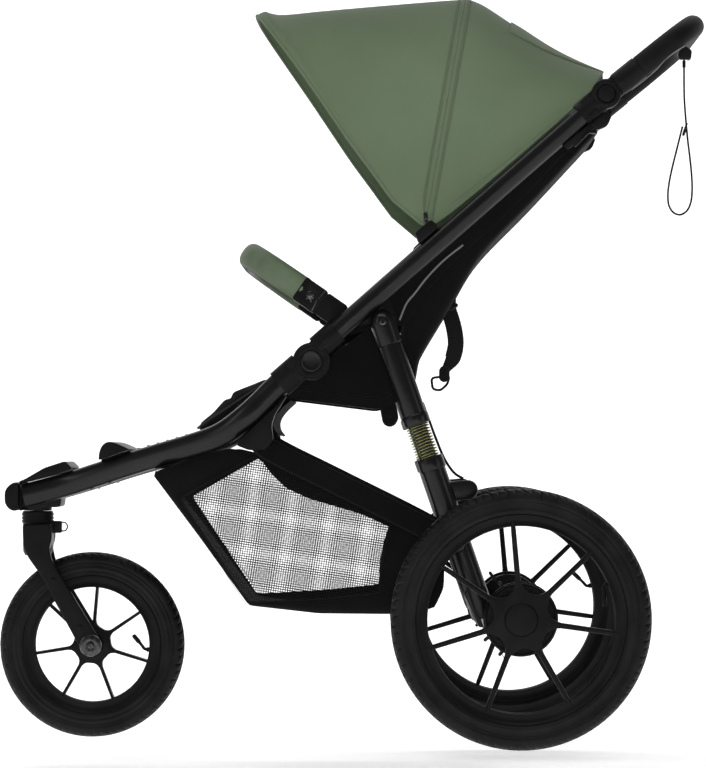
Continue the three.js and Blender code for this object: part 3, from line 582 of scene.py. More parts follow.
# ---------------------------------------------------------------- stage, light and camera
def stage():
    """A pale floor that curves up into the backdrop, soft lights and the camera."""
    profile = [(-9.0, 0.0), (3.2, 0.0), (4.4, 0.12), (5.4, 0.55), (6.1, 1.3), (6.5, 2.4), (6.6, 9.0)]
    rings = [[Vector((x, y, z)) for x in (-14, -5, 5, 14)]
             for y, z in smooth(profile, 6)]
    material, tree, surface = shader("backdrop", 0.7, Emission_Color=(1, 1, 1, 1), Emission_Strength=0.45)
    tinted(tree, surface, noise(tree, 0.4, 1), (0.88, 0.88, 0.88), (0.9, 0.9, 0.9))
    FINISH["backdrop"] = material
    floor = skin("floor", rings, "backdrop", wrap=False)
    floor.data.shade_smooth()
    world = bpy.data.worlds.new("studio")
    SCENE.world = world
    world.use_nodes = True
    world.node_tree.nodes["Background"].inputs["Color"].default_value = (1, 1, 1, 1)
    world.node_tree.nodes["Background"].inputs["Strength"].default_value = 0.1

    def softbox(name, at, towards, width, height, power, gloss=True):
        """A rectangular lamp. Without gloss it isn't mirrored in shiny parts."""
        light = bpy.data.lights.new(name, "AREA")
        light.shape = "RECTANGLE"
        light.size = width
        light.size_y = height
        light.energy = power
        lamp = bpy.data.objects.new(name, light)
        SCENE.collection.objects.link(lamp)
        lamp.location = at
        lamp.rotation_euler = (Vector(towards) - Vector(at)).to_track_quat("-Z", "Y").to_euler()
        lamp.visible_glossy = gloss

    softbox("overhead", (-0.5, -1.0, 3.3), (-0.1, 0, 0.6), 3.4, 0.4, 20)
    softbox("front", (-3.4, -2.6, 2.0), (0, 0, 0.6), 0.7, 2.4, 13)
    softbox("rear", (3.6, -2.2, 1.4), (0, 0, 0.5), 0.6, 2.0, 8)
    softbox("key", (-1.2, -5.4, 3.4), (0, 0, 0.7), 1.6, 1.0, 42, False)
    softbox("fill", (0.05, -5.5, 0.5), (0, 0, 0.6), 1.2, 0.8, 130, False)
    softbox("backdrop_wash", (0, 2.4, 4.6), (0, 5.5, 0.6), 6.0, 1.6, 170)
    SCENE.view_settings.view_transform = "Standard"

    lens = bpy.data.cameras.new("camera")
    lens.lens = 174
    camera = bpy.data.objects.new("camera", lens)
    SCENE.collection.objects.link(camera)
    camera.location = (0.0475, -5.86, 0.444)
    target = Vector((0.0065, 0, 0.556))
    camera.rotation_euler = (target - camera.location).to_track_quat("-Z", "Y").to_euler()
    SCENE.camera = camera


stage()


# ---------------------------------------------------------------- wrist strap, the one free cord
STRAP_Y = -0.191
STRAP_ROUTE = [
    (0.514, 0, 1.048), (0.514, 0, 1.030), (0.514, 0, 1.008), (0.5145, 0, 0.986), (0.516, 0, 0.964),
    (0.5175, 0, 0.946), (0.5195, 0, 0.925), (0.5225, 0, 0.900), (0.5253, 0, 0.872), (0.526, 0, 0.848),
    (0.524, 0, 0.830), (0.518, 0, 0.817), (0.508, 0, 0.811), (0.498, 0, 0.814), (0.491, 0, 0.824),
    (0.489, 0, 0.840), (0.491, 0, 0.860), (0.496, 0, 0.884), (0.503, 0, 0.912), (0.5085, 0, 0.934),
    (0.5115, 0, 0.946),
]


def wrist_strap():
    """The cord, the sleeve that joins its loop, and the ferrule that holds it at the clip."""
    data = bpy.data.curves.new("wrist_strap_cord", "CURVE")
    data.dimensions = "3D"
    data.bevel_depth = 0.0015
    data.bevel_resolution = 3
    spline = data.splines.new("POLY")
    route = smooth([Vector((x, STRAP_Y + y, z)) for x, y, z in STRAP_ROUTE], 8)
    spline.points.add(len(route) - 1)
    for point, at in zip(spline.points, route):
        point.co = (*at, 1)
    cord = bpy.data.objects.new("wrist_strap_cord", data)
    SCENE.collection.objects.link(cord)
    data.materials.append(FINISH["webbing"])
    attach(cord, "handle")
    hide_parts("wrist_strap")
    top = Vector((0.5185, STRAP_Y, 0.951))
    bottom = Vector((0.5125, STRAP_Y, 0.932))
    sleeve = tube("wrist_strap_joint", [top.lerp(bottom, i / 6) for i in range(7)],
                  oval(4.2, 2.2, 16), "webbing", [0.6, 0.75, 0.9, 1, 1.05, 1, 0.8])
    place(sleeve, "handle", "black_fabric")
    ferrule = lathe("wrist_strap_ferrule", disc(2.6, 0, 11, 1), mm(514, 1036, -191), "plastic", 20,
                    (0, 0, 1))
    place(ferrule, "handle", "black_plastic")


wrist_strap()


# ---------------------------------------------------------------- wheels
REAR_WHEEL = {
    "radius": 196.5, "half": 22, "rim": 158.5, "opening": 140.7, "ridge": 0.47, "pitches": 48,
    "spokes": (95, 44, -8, -60, -111, -163, 146), "spoke": (5.4, 4.5), "valley": 42, "fillet": 24,
    "spoke_line": ((40, 9.5), (149, 13.4)), "flare": -0.35, "bead_lines": (0.16,),
}
FRONT_WHEEL = {
    "radius": 145.5, "half": 20, "rim": 108.7, "opening": 90.4, "ridge": 0.52, "pitches": 35,
    "spokes": (85, 34, -17, -69, -120, -171, 137), "spoke": (5.0, 3.0), "valley": 29.5, "fillet": 12,
    "spoke_line": ((26, 0), (98, 0)), "flare": 2.0, "bead_lines": (0.14, 0.33),
}
TREAD_STEPS = 16
HALF_SPOKE_GAP = 25.7


def tread_cut(turn, v, pitches):
    """How deep the tread is cut, from 0 to 1, at a turn of the wheel and a share v of the way to a
    shoulder. Each pitch has a slanted groove and a hooked one, and the shoulders are half a pitch apart."""
    u = turn / (2 * math.pi) * pitches + (0.5 if v < 0 else 0)
    v = abs(v)
    cut = 1 - v / 0.07
    grooves = []
    if 0.14 < v < 0.97:
        grooves.append(0.2 + 0.34 * (1 - v))
    if 0.3 < v < 0.88:
        grooves.append(0.72 + 0.15 * math.sin(5.4 * (v - 0.3)))
    for groove in grooves:
        off = abs((u - groove + 0.5) % 1 - 0.5)
        cut = max(cut, 1.25 - off / 0.075)
    if abs((u - 0.86) % 1) < 0.24:
        cut = max(cut, 1.2 - abs(v - 0.36) / 0.045)
    return min(1, max(0, cut))


def tyre(name, wheel, centre):
    """A pneumatic tyre: rim bead, sidewall with its fine rings, ridge, shoulders and cut tread."""
    rim, half = wheel["rim"] - 0.5, wheel["half"]
    height = wheel["radius"] - rim
    ridge = wheel["ridge"]
    flank = [(0, 0.7), (0.015, 0.8), (0.05, 0.86)]
    for ring in wheel["bead_lines"]:
        width = 0.87 + 0.36 * ring
        flank += [(ring - 0.03, width), (ring - 0.012, width + 0.035), (ring + 0.012, width + 0.04),
                  (ring + 0.03, width + 0.015)]
    flank += [(ridge - 0.1, 0.99), (ridge - 0.045, 0.985), (ridge - 0.03, 1.03), (ridge + 0.012, 1.035),
              (ridge + 0.03, 0.99), (ridge + 0.05, 0.955)]
    band = 24
    first = ridge + 0.075
    profile = []
    for sign in (-1, 1):
        part = [((rim + height * r), sign * half * h, None) for r, h in flank]
        for i in range(band):
            slope = math.pi / 2 * (1 - (i + 0.5) / band)
            out = math.sin(slope)
            part.append((rim + height * (first + (1 - first) * math.cos(slope) ** 0.8),
                         sign * half * 0.975 * out ** 0.92, sign * out))
        profile += part if sign < 0 else part[::-1]
    shares = [p[2] for p in profile]
    pitches = wheel["pitches"]

    def wave(turn, k):
        """How far the tread's cut moves the profile's point k inwards."""
        if shares[k] is None:
            return 0, 0
        inwards = Vector((rim + height * 0.5, 0)) - Vector(profile[k][:2])
        return inwards.normalized() * 1.9 * tread_cut(turn, shares[k], pitches)

    return lathe(name, [p[:2] for p in profile], centre, "tyre", pitches * TREAD_STEPS, wave=wave)


def rim_ring(name, wheel, centre, out):
    """The rim: lip, hollow outer band, edge line, stepped barrel with a raised seat for the spokes."""
    rim, opening, lip = wheel["rim"], wheel["opening"], wheel["half"] * 0.84
    depth = rim - opening
    face = [(0, 0.9), (0.01, 0.99), (0.06, 1.02), (0.13, 0.99), (0.2, 0.92), (0.34, 0.85), (0.55, 0.82),
            (0.76, 0.84), (0.86, 0.9), (0.92, 0.91), (0.97, 0.88), (1, 0.8), (0.97, 0.7), (0.85, 0.56),
            (0.76, 0.4), (0.78, 0.24), (0.9, 0.14)]
    profile = [(rim - depth * d, lip * h) for d, h in face]
    profile += [(r, -h) for r, h in profile[::-1]]
    return lathe(name, profile, centre, "wheel", 180, (0, out, 0))


def star_outline(wheel, centre):
    """The hub's star: an arm to each spoke, with round fillets between them and the hub's own circle."""
    valley, fillet, half = wheel["valley"], wheel["fillet"], wheel["spoke"][1]
    angles = sorted(wheel["spokes"], reverse=True)
    far = valley + fillet
    lean = math.degrees(math.asin((half + fillet) / far))
    points = []
    for angle, after in zip(angles, [*angles[1:], angles[0] - 360]):
        middle = (angle + after) / 2
        first = polar((0, 0), far, max(angle - lean, middle))
        last = polar((0, 0), far, min(after + lean, middle))
        turns = [k / 8 * (90 - lean) for k in range(9)]
        points += [polar(first, fillet, angle + 90 + turn) for turn in turns]
        points.append(polar((0, 0), valley, middle))
        points += [polar(last, fillet, after + 180 + lean + turn) for turn in turns]
    return [centre + p for p in points]


def spokes(name, wheel, centre, out):
    """Seven tapered blades from the hub to wedges on the rim's outer band."""
    (r0, h0), (r1, h1) = wheel["spoke_line"]
    steps = 16
    made = []
    for i, angle in enumerate(wheel["spokes"]):
        line, sizes = [], []
        for k in range(steps + 1):
            t = k / steps
            at = polar((0, 0), r0 + (r1 - r0) * t, angle)
            line.append(centre + mm(*at, out * (h0 + (h1 - h0) * t)))
            wedge = min(1, 0.3 + (1 - t) * 9)
            sizes.append((1 + wheel["flare"] * t ** 2, (1 - 0.16 * t) * wedge))
        made.append(tube(f"{name}_{i}", line, oval(*wheel["spoke"], 20, 3.2), "wheel", sizes, (0, 1, 0)))
    return made


def dots(name, centre, radius, angles, size, low, high, out, finish):
    """Small round screw heads on a circle."""
    made = []
    for i, angle in enumerate(angles):
        at = polar((0, 0), radius, angle)
        made.append(lathe(f"{name}_{i}", disc(size, low, high, size * 0.3), centre + mm(*at),
                          finish, 14, (0, out, 0)))
    return made


def valve(name, wheel, centre, root_angle, tip_angle, tip_radius, out):
    """A bent valve stem with its cap, out of the rim's barrel."""
    a = polar((0, 0), wheel["opening"] + 4, root_angle)
    b = polar((0, 0), wheel["opening"] - 7, root_angle)
    d = polar((0, 0), tip_radius, tip_angle)
    c = b.lerp(d, 0.3)
    h = out * 3
    line = even(smooth([centre + mm(*p, h) for p in (a, b, c, d)], 6), 24)
    nut = lathe(name + "_nut", disc(4.2, -3, 3, 0.8), line[3], "wheel", 6, line[4] - line[2])
    stem = tube(name + "_stem", line[:18], oval(2.5, 2.5, 14), "steel")
    sizes = [0.7, 1, 1, 1, 1, 1, 1, 1, 0.9, 0.6]
    cap = tube(name + "_cap", line[14:], oval(3.6, 3.6, 12), "plastic", sizes)
    return joined(name, [nut, stem, cap])


def rear_wheel(side):
    """A rear tyre, its rim casting with star, drum and cap, and its valve."""
    s = SIDES[side]
    w = REAR_WHEEL
    centre = mm(*REAR_AXLE, s * TRACK_Y)
    body = "rear_wheel_" + side
    place(tyre("rear_tyre_skin_" + side, w, centre), body, "tyre", "rear_tyre_" + side, angle=50)
    cover = plate("cover", star_outline(w, Vector((0, 0))), 4, 16.4, "wheel", 1.6, 4)
    for vertex in cover.data.vertices:
        vertex.co = Vector((vertex.co.x, vertex.co.y * s, vertex.co.z)) + centre
    if s < 0:
        cover.data.flip_normals()
    cap = [(0, 10), (26.2, 10), (26.2, 16.6), (25.4, 17.2), (24.9, 16.3), (24.3, 17.4), (23.2, 18.4),
           (18, 19.2), (0, 19.6)]
    drum = [(10, -23), (53, -23), (56, -21.6), (56.5, -20), (56.5, -14), (54.4, -12), (54.2, -5.4),
            (53.4, -4.4), (52.2, -4.8), (51, -5.6), (34, -6), (30, -2), (27, 5), (10, 5)]
    windows = [angle - HALF_SPOKE_GAP for angle in w["spokes"]]
    pieces = [rim_ring("rim", w, centre, s), *spokes("spoke", w, centre, s), cover,
              lathe("cap", cap, centre, "wheel", 72, (0, s, 0)),
              lathe("drum", drum, centre, "wheel", 96, (0, s, 0)),
              *dots("bolt", centre, 45.5, windows[::2], 3.2, -5, -1.6, s, "steel")]
    place(joined("rear_rim_casting_" + side, pieces), body, "wheel_plastic", "rear_rim_" + side, angle=32)
    turns = (22, 9, 127) if side == "left" else (13.5, 27, 119)
    place(valve("rear_valve_" + side, w, centre, *turns, s), body, "wheel_plastic")


def front_wheel():
    """The front tyre, its rim casting with the star hub, and its valve."""
    w = FRONT_WHEEL
    centre = mm(*FRONT_AXLE)
    place(tyre("front_tyre_skin", w, centre), "front_wheel", "tyre", "front_tyre", angle=50)
    star = plate("star", star_outline(w, FRONT_AXLE), -9.5, 9.5, "wheel", 2, 4)
    hub = [(5.8, -25), (11, -25), (12, -24), (14, -17), (19, -12), (27, -10.4), (28.4, -9), (28.4, 9),
           (27, 10.4), (19, 12), (14, 17), (12, 24), (11, 25), (5.8, 25)]
    windows = [angle - HALF_SPOKE_GAP for angle in w["spokes"]]
    pieces = [rim_ring("rim", w, centre, -1), *spokes("spoke", w, centre, -1), star,
              lathe("hub", hub, centre, "wheel", 72),
              *dots("dot", centre, 24.4, windows, 2.2, 8, 11.4, -1, "screw")]
    place(joined("front_rim_casting", pieces), "front_wheel", "wheel_plastic", "front_rim", angle=32)
    place(valve("front_valve", w, centre, -5, 13, 66, -1), "front_wheel", "wheel_plastic")


rear_wheel("left")
rear_wheel("right")
front_wheel()


# ---------------------------------------------------------------- front frame
FRONT_TUBE_LINE = [
    (-508, 380, 60), (-443, 397, 62), (-390, 413.5, 82), (-338, 430, 110), (-290, 444, 140),
    (-241, 458, 170), (-194, 475, 197), (-156, 502, 212), (-130, 526, 212),
]
SLEEVE_START, SLEEVE_END = 31, 60


def rod(name, origin, direction, y, profile, finish, steps=48):
    """A round part on a side-view line. profile is (distance along the line, radius) pairs."""
    turned = [(0, profile[0][0]), *[(r, t) for t, r in profile], (0, profile[-1][0])]
    axis = Vector((direction.x, 0, direction.y))
    return lathe(name, turned, mm(*origin, y), finish, steps, axis)


def screw(name, at, radius, finish="screw", out=-1):
    """A dome-headed screw with a hexagon socket, at a point on a face that looks outwards."""
    dome = [(0, -1), (radius, -1), (radius, 0.2), (radius * 0.8, radius * 0.32),
            (radius * 0.46, radius * 0.42), (radius * 0.42, 0.1), (0, 0)]
    head = lathe(name + "_head", dome, at, finish, 24, (0, out, 0))
    wall = [(radius * 0.38, -0.5), (radius * 0.38, radius * 0.38), (radius * 0.48, radius * 0.38),
            (radius * 0.48, -0.5)]
    hexagon = lathe(name + "_socket", wall, at, finish, 6, (0, out, 0))
    return joined(name, [head, hexagon])


def front_frame():
    """The bent front tubes, the nose cover, the foot rest and their screws."""
    for side, s in SIDES.items():
        line = [Vector((x, s * y, z)) * MM for x, z, y in FRONT_TUBE_LINE]
        for t in (SLEEVE_END + 8, SLEEVE_START + 4):
            p = on_tube(HINGE_S - t, -3)
            line.append(mm(*p, s * FRAME_Y))
        line = even(smooth(line, 10), 90)
        section = oval(14.5, 18.5, 40, 2.25)
        place(tube("front_tube_finished_" + side, line, section, "paint"), "front_frame", "frame_paint",
              "front_tube_" + side)
        under = [p + Vector((0, s * 0.0045, -0.0174)) for p in line[20:27:6]]
        screws = [screw(f"tube_screw_{side}_{i}", p, 3, out=s) for i, p in enumerate(under)]
        for part in screws:
            place(part, "front_frame", "black_plastic")

    # Nose cover: a bumper cap and a top cover with a seam between them.
    cap = rounded([(-514.4, 357), (-527, 357), (-536, 368), (-536, 389), (-526, 400), (-514.4, 402.5)], 7)
    top = rounded([(-513.4, 400.4), (-513.4, 403), (-505, 406), (-474, 424), (-441.6, 434.5),
                   (-434, 427), (-431, 422.4), (-443, 418)], 4)
    rim = rounded([(-514, 357), (-512, 357), (-511.4, 372), (-511.4, 400), (-514, 402)], 0.6)
    pieces = [plate("cap", cap, -79, 79, "plastic", 5, 5), plate("top", top, -79, 79, "plastic", 2.6, 4),
              plate("rim", rim, -60, 60, "plastic", 0.4)]
    place(joined("nose_cover_finished", pieces), "front_frame", "black_plastic", "nose_cover")
    refined("head_bracket", "front_frame", "black_plastic", "plastic", 2)

    # Foot rest: a soft roll across the tubes, ribbed on top, and the board behind it.
    roll = smooth([(-386, 436.4), (-385.4, 446), (-382, 456), (-376, 462.4), (-369, 464.4),
                   (-360, 462.4), (-348, 457.4), (-338, 452.6)], 4)
    pieces = [plate("roll", roll, -124, 124, "plastic", 3.5, 5)]
    board = [(-386, 430), (-246, 470), (-246, 477), (-386, 437)]
    pieces.append(plate("board", rounded(board, 2), -66, 66, "plastic", 1.5))
    for k in range(9):
        p = Vector((-374, 440.4)).lerp(Vector((-254, 474.8)), k / 8)
        corners = [p + Vector(step) for step in ((-2, -1.2), (2, -0.2), (1.4, 2), (-1.4, 1.2))]
        pieces.append(plate(f"rib_{k}", rounded(corners, 0.4), -58, 58, "plastic", 0.5))
    place(joined("foot_rest_finished", pieces), "front_frame", "black_plastic", "foot_rest")


def hinges():
    """The fold hinges: a smooth sleeve on each tube, the housing's ring, and the pin's dished cap."""
    for side, s in SIDES.items():
        y = s * FRAME_Y
        low_seam = HINGE_S - SLEEVE_END
        dip = along(TUBE_FOOT, TUBE_DIR, 0, -3)
        stops = (low_seam, low_seam + 1.5, low_seam + 12, HINGE_S - 24, HINGE_S - 16)
        lower = tube("lower_sleeve", [mm(*along(dip, TUBE_DIR, t), y) for t in stops],
                     oval(18.3, 21.6, 44, 2.2), "plastic", [0.985, 1, 1, 1, 1])
        refined("hinge_housing_" + side, "front_frame", "black_plastic", "plastic", 0.7)
        ring = [(16.6, 5), (28.1, 5), (28.6, 8), (28.6, 16.2), (28, 17.8), (26.6, 18.6), (25.2, 18.2),
                (24.8, 17.4), (24.2, 17.2), (17.6, 17.6), (16.8, 16.8), (16.6, 14)]
        housing = lathe("ring", ring, mm(*HINGE, y), "plastic", 96, (0, s, 0))
        place(joined("hinge_ring_" + side, [lower, housing]), "front_frame", "black_plastic")
        high = HINGE_S + SLEEVE_END
        upper = tube("upper_sleeve_" + side, [mm(*on_tube(t), y) for t in
                                              (HINGE_S + 20, HINGE_S + 27, high - 14, high - 1.5, high)],
                     oval(19.8, 19.3, 44), "plastic", [1, 1, 1, 1, 0.975])
        place(upper, "upper_frame", "black_plastic")
        refined("hinge_knuckle_" + side, "upper_frame", "black_plastic", "plastic", 0.7)
        cap = [(0, -21.8), (5.9, -21.8), (5.9, 13), (16.3, 13), (16.3, 18.6), (15.6, 20.2),
               (14.4, 20.9), (13.2, 20.8), (12.2, 20.2), (8, 19.8), (0, 19.6)]
        pin = lathe("hinge_pin_finished_" + side, cap, mm(*HINGE, y), "paint", 96, (0, s, 0))
        place(pin, "front_frame", "frame_paint", "hinge_pin_" + side)
        refined("lower_bracket_" + side, "front_frame", "black_plastic", "plastic", 1.6)


# ---------------------------------------------------------------- upper frame
def upper_frame():
    """The upper tubes with their brackets, canopy hubs, handle sockets and fold latches."""
    start, end = HINGE_S + 34, TUBE_LENGTH - 25.5
    for side, s in SIDES.items():
        y = s * FRAME_Y
        shaft = rod("upper_tube_finished_" + side, TUBE_FOOT, TUBE_DIR, y, [(start, 16), (end, 16)],
                    "paint", 64)
        place(shaft, "upper_frame", "frame_paint", "upper_tube_" + side)
        refined("leg_bracket_" + side, "upper_frame", "black_plastic", "plastic", 1.4)
        refined("canopy_hub_" + side, "upper_frame", "black_plastic", "plastic", 1.5)
        refined("bumper_socket_" + side, "upper_frame", "black_plastic", "plastic", 2)
        # Handle joint: sleeve, outer disc round the button, and a two-dot adjuster in the sleeve's side.
        profile = [(TUBE_LENGTH - 50, 18.6), (TUBE_LENGTH - 49, 19.4), (TUBE_LENGTH - 20, 19.6),
                   (TUBE_LENGTH - 14, 15)]
        sleeve = rod("sleeve", TUBE_FOOT, TUBE_DIR, y, profile, "plastic", 56)
        face = [(13.8, 0.4), (22, 0.4), (22.6, 3), (22.6, 15.6), (21.8, 17.4), (20, 18.4), (17, 18.8),
                (15.2, 18.8), (14.2, 18.2), (13.8, 17)]
        face_disc = lathe("disc", face, mm(*HANDLE_JOINT, y), "plastic", 96, (0, s, 0))
        corners = [by_joint(40, 17), by_joint(4, 19.5), by_joint(4, -19.5), by_joint(40, -17)]
        web = plate("web", rounded(corners, 3), y + s * 0.3, y + s * 16.6, "plastic", 2.2, 4)
        pad_outline = strip([by_joint(42, -9), by_joint(30, -9)], 5.2)
        pad = plate("pad", pad_outline, y + s * 14, y + s * 18.9, "cable", 0.8)
        knobs = [lathe(f"knob_{k}", disc(2.6, 16, 20.4, 1.2),
                       mm(*on_tube(TUBE_LENGTH - 41 + 10 * k, -9), y), "screw", 20, (0, s, 0))
                 for k in (0, 1)]
        socket = joined("handle_socket_finished_" + side, [sleeve, face_disc, web, pad, *knobs])
        place(socket, "upper_frame", "black_plastic", "handle_socket_" + side, angle=34)
        # Frame latch under the tube, by the joint.
        latch = rounded([by_joint(50, -18), by_joint(20, -18), by_joint(14, -30), by_joint(30, -38),
                         by_joint(46, -33)], 5)
        hook = strip([by_joint(86, -27), by_joint(58, -25), by_joint(50, -32)], 2.6)
        rail = strip([by_joint(96, -20), by_joint(44, -22)], 5)
        parts = [plate("latch", latch, y - 11, y + 9, "plastic", 2.2),
                 plate("hook", hook, y - 8, y + 11, "plastic", 0.9),
                 plate("rail", rail, y - 8, y + 6, "plastic", 1.4)]
        place(joined("fold_latch_" + side, parts), "upper_frame", "black_plastic")
        body = "handle_button_" + side
        face = [(0, 13.6), (13.3, 13.6), (13.3, 19.2), (12.4, 20.4), (11, 20.7), (0, 20.9)]
        button = lathe(body + "_finished", face, mm(*HANDLE_JOINT, y), "plastic", 72, (0, s, 0))
        place(button, body, "black_plastic", body)


def handle():
    """The U of grip foam on its two arms, the release cord, and the strap's clip and ring."""
    reach = (GRIP_END - HANDLE_JOINT).length
    line = even(u_line(HANDLE_JOINT, HANDLE_DIR, 66, reach, FRAME_Y, 92), 170)
    sizes = [0.965, *[1.0] * (len(line) - 2), 0.965]
    grip = tube("handle_grip_finished", line, oval(17.4, 17.4, 40), "grip", sizes)
    place(grip, "handle", "grip_foam", "handle_grip")
    for side, s in SIDES.items():
        y = s * FRAME_Y
        profile = [(21, 16.8), (24, 18.2), (26, 18.6), (64, 18.5), (65.2, 18.2), (66, 17)]
        arm = rod("arm", HANDLE_JOINT, HANDLE_DIR, y, profile, "plastic", 56)
        face = [(0, -18.4), (20, -18.4), (21.4, -17), (21.4, -0.3), (0, -0.3)]
        inner = lathe("inner", face, mm(*HANDLE_JOINT, y), "plastic", 72, (0, s, 0))
        stops = ((0, 18), (34, 16), (34, -16), (0, -18))
        corners = [along(HANDLE_JOINT, HANDLE_DIR, t, p) for t, p in stops]
        web = plate("web", rounded(corners, 3), y - s * 18, y - s * 0.3, "plastic", 2)
        place(joined("handle_arm_finished_" + side, [arm, inner, web]), "handle", "black_plastic",
              "handle_arm_" + side, angle=34)
    # Thin release cord under the left arm, and the strap's clip with its ring.
    stops = ((34, -19.4), (60, -20), (86, -19), (104, -15.5), (122, -16.5), (140, -18.6))
    route = [along(HANDLE_JOINT, HANDLE_DIR, t, p) for t, p in stops]
    line = smooth([mm(*p, -FRAME_Y - 5) for p in route], 6)
    trim = tube("grip_trim_cord", line, oval(1, 1, 10), "piping")
    place(trim, "handle", "cable_rubber")
    refined("wrist_strap_clip", "handle", "black_plastic", "plastic", 0.8)
    loop = [Vector((0.5205, STRAP_Y, 1.054)) + Vector((0.0042 * math.cos(a), 0, 0.0068 * math.sin(a)))
            for a in [2 * math.pi * k / 24 for k in range(25)]]
    place(tube("wrist_strap_ring", loop, oval(0.9, 0.9, 10), "steel", caps=False), "handle",
          "black_plastic")


def bumper():
    """The leather bumper bar with its ends, their marks and their buttons."""
    reach = (BUMPER_FRONT - BUMPER_FOOT).length
    line = even(u_line(BUMPER_FOOT, BUMPER_DIR, 66.4, reach, 179, 100), 150)
    cover = tube("bumper_cover", line, oval(16.2, 20.6, 44, 2.4), "leather", [0.97, *[1] * 148, 0.97])
    # A darker green band that peeks out under the cover all along the bar: painted shade on the bar's
    # underside.
    underside_shade = tube("bumper_underside_shade", line, [(a, b - 2.2) for a, b in oval(13.4, 19.4, 32, 2.4)], "stitch",
                  [0.97] * 150)
    place(cover, "bumper", "bumper_leather", "bumper_bar")
    place(underside_shade, "bumper", "bumper_leather")
    for side, s in SIDES.items():
        y = s * 179
        end = refined("bumper_end_" + side, "bumper", "black_plastic", "plastic", 2.2)
        marks = []
        for k, tilt in enumerate((38, -38)):
            middle = along(BUMPER_FOOT, BUMPER_DIR, 43, 4)
            stroke = polar((0, 0), 5.5, tilt + 145)
            stroke = strip([middle - stroke, middle + stroke], 1.1, 5)
            marks.append(plate(f"mark_{k}", stroke, y + s * 15, y + s * 16.5, "screw", 0.4))
        seam = strip([along(BUMPER_FOOT, BUMPER_DIR, 30, -18.6), along(BUMPER_FOOT, BUMPER_DIR, 33, 0),
                      along(BUMPER_FOOT, BUMPER_DIR, 30, 18.6)], 0.8, 4)
        marks.append(plate("seam", seam, y + s * 15.2, y + s * 16.4, "cable", 0.2))
        place(joined("bumper_marks_" + side, marks), "bumper", "black_plastic")
        refined("bumper_button_" + side, "bumper_button_" + side, "black_plastic", "screw", 1)


front_frame()
hinges()
upper_frame()
handle()
bumper()


# ---------------------------------------------------------------- rear legs, springs and axle
LEG = {"collar": 150, "collar_end": 165, "spring_end": 218, "lower_collar": 238, "foot": 470}
BEAM = Vector((207, 200))


def coil(name, side, turns=12, radius=15.2, wire=1.15):
    """The suspension spring: a real helix with closed ends, between the two collars."""
    start, end = LEG["collar_end"] + 1.2, LEG["spring_end"] - 1.2
    axis = Vector((LEG_DIR.x, 0, LEG_DIR.y))
    across = Vector((0, 1, 0))
    other = axis.cross(across)
    steps = [i / 22 for i in range(turns * 22 + 1)]
    rise = np.cumsum([0.16 + 0.84 * min(1, turn / 1.2, (turns - turn) / 1.2) for turn in steps])
    rise = (rise - rise[0]) / (rise[-1] - rise[0])
    points = []
    for turn, share in zip(steps, rise):
        angle = 2 * math.pi * turn
        p = on_leg(start + (end - start) * share)
        points.append(mm(*p, SIDES[side] * FRAME_Y)
                      + (across * math.cos(angle) + other * math.sin(angle)) * radius * MM)
    return tube(name, points, oval(wire, wire, 10), "spring", None, other)


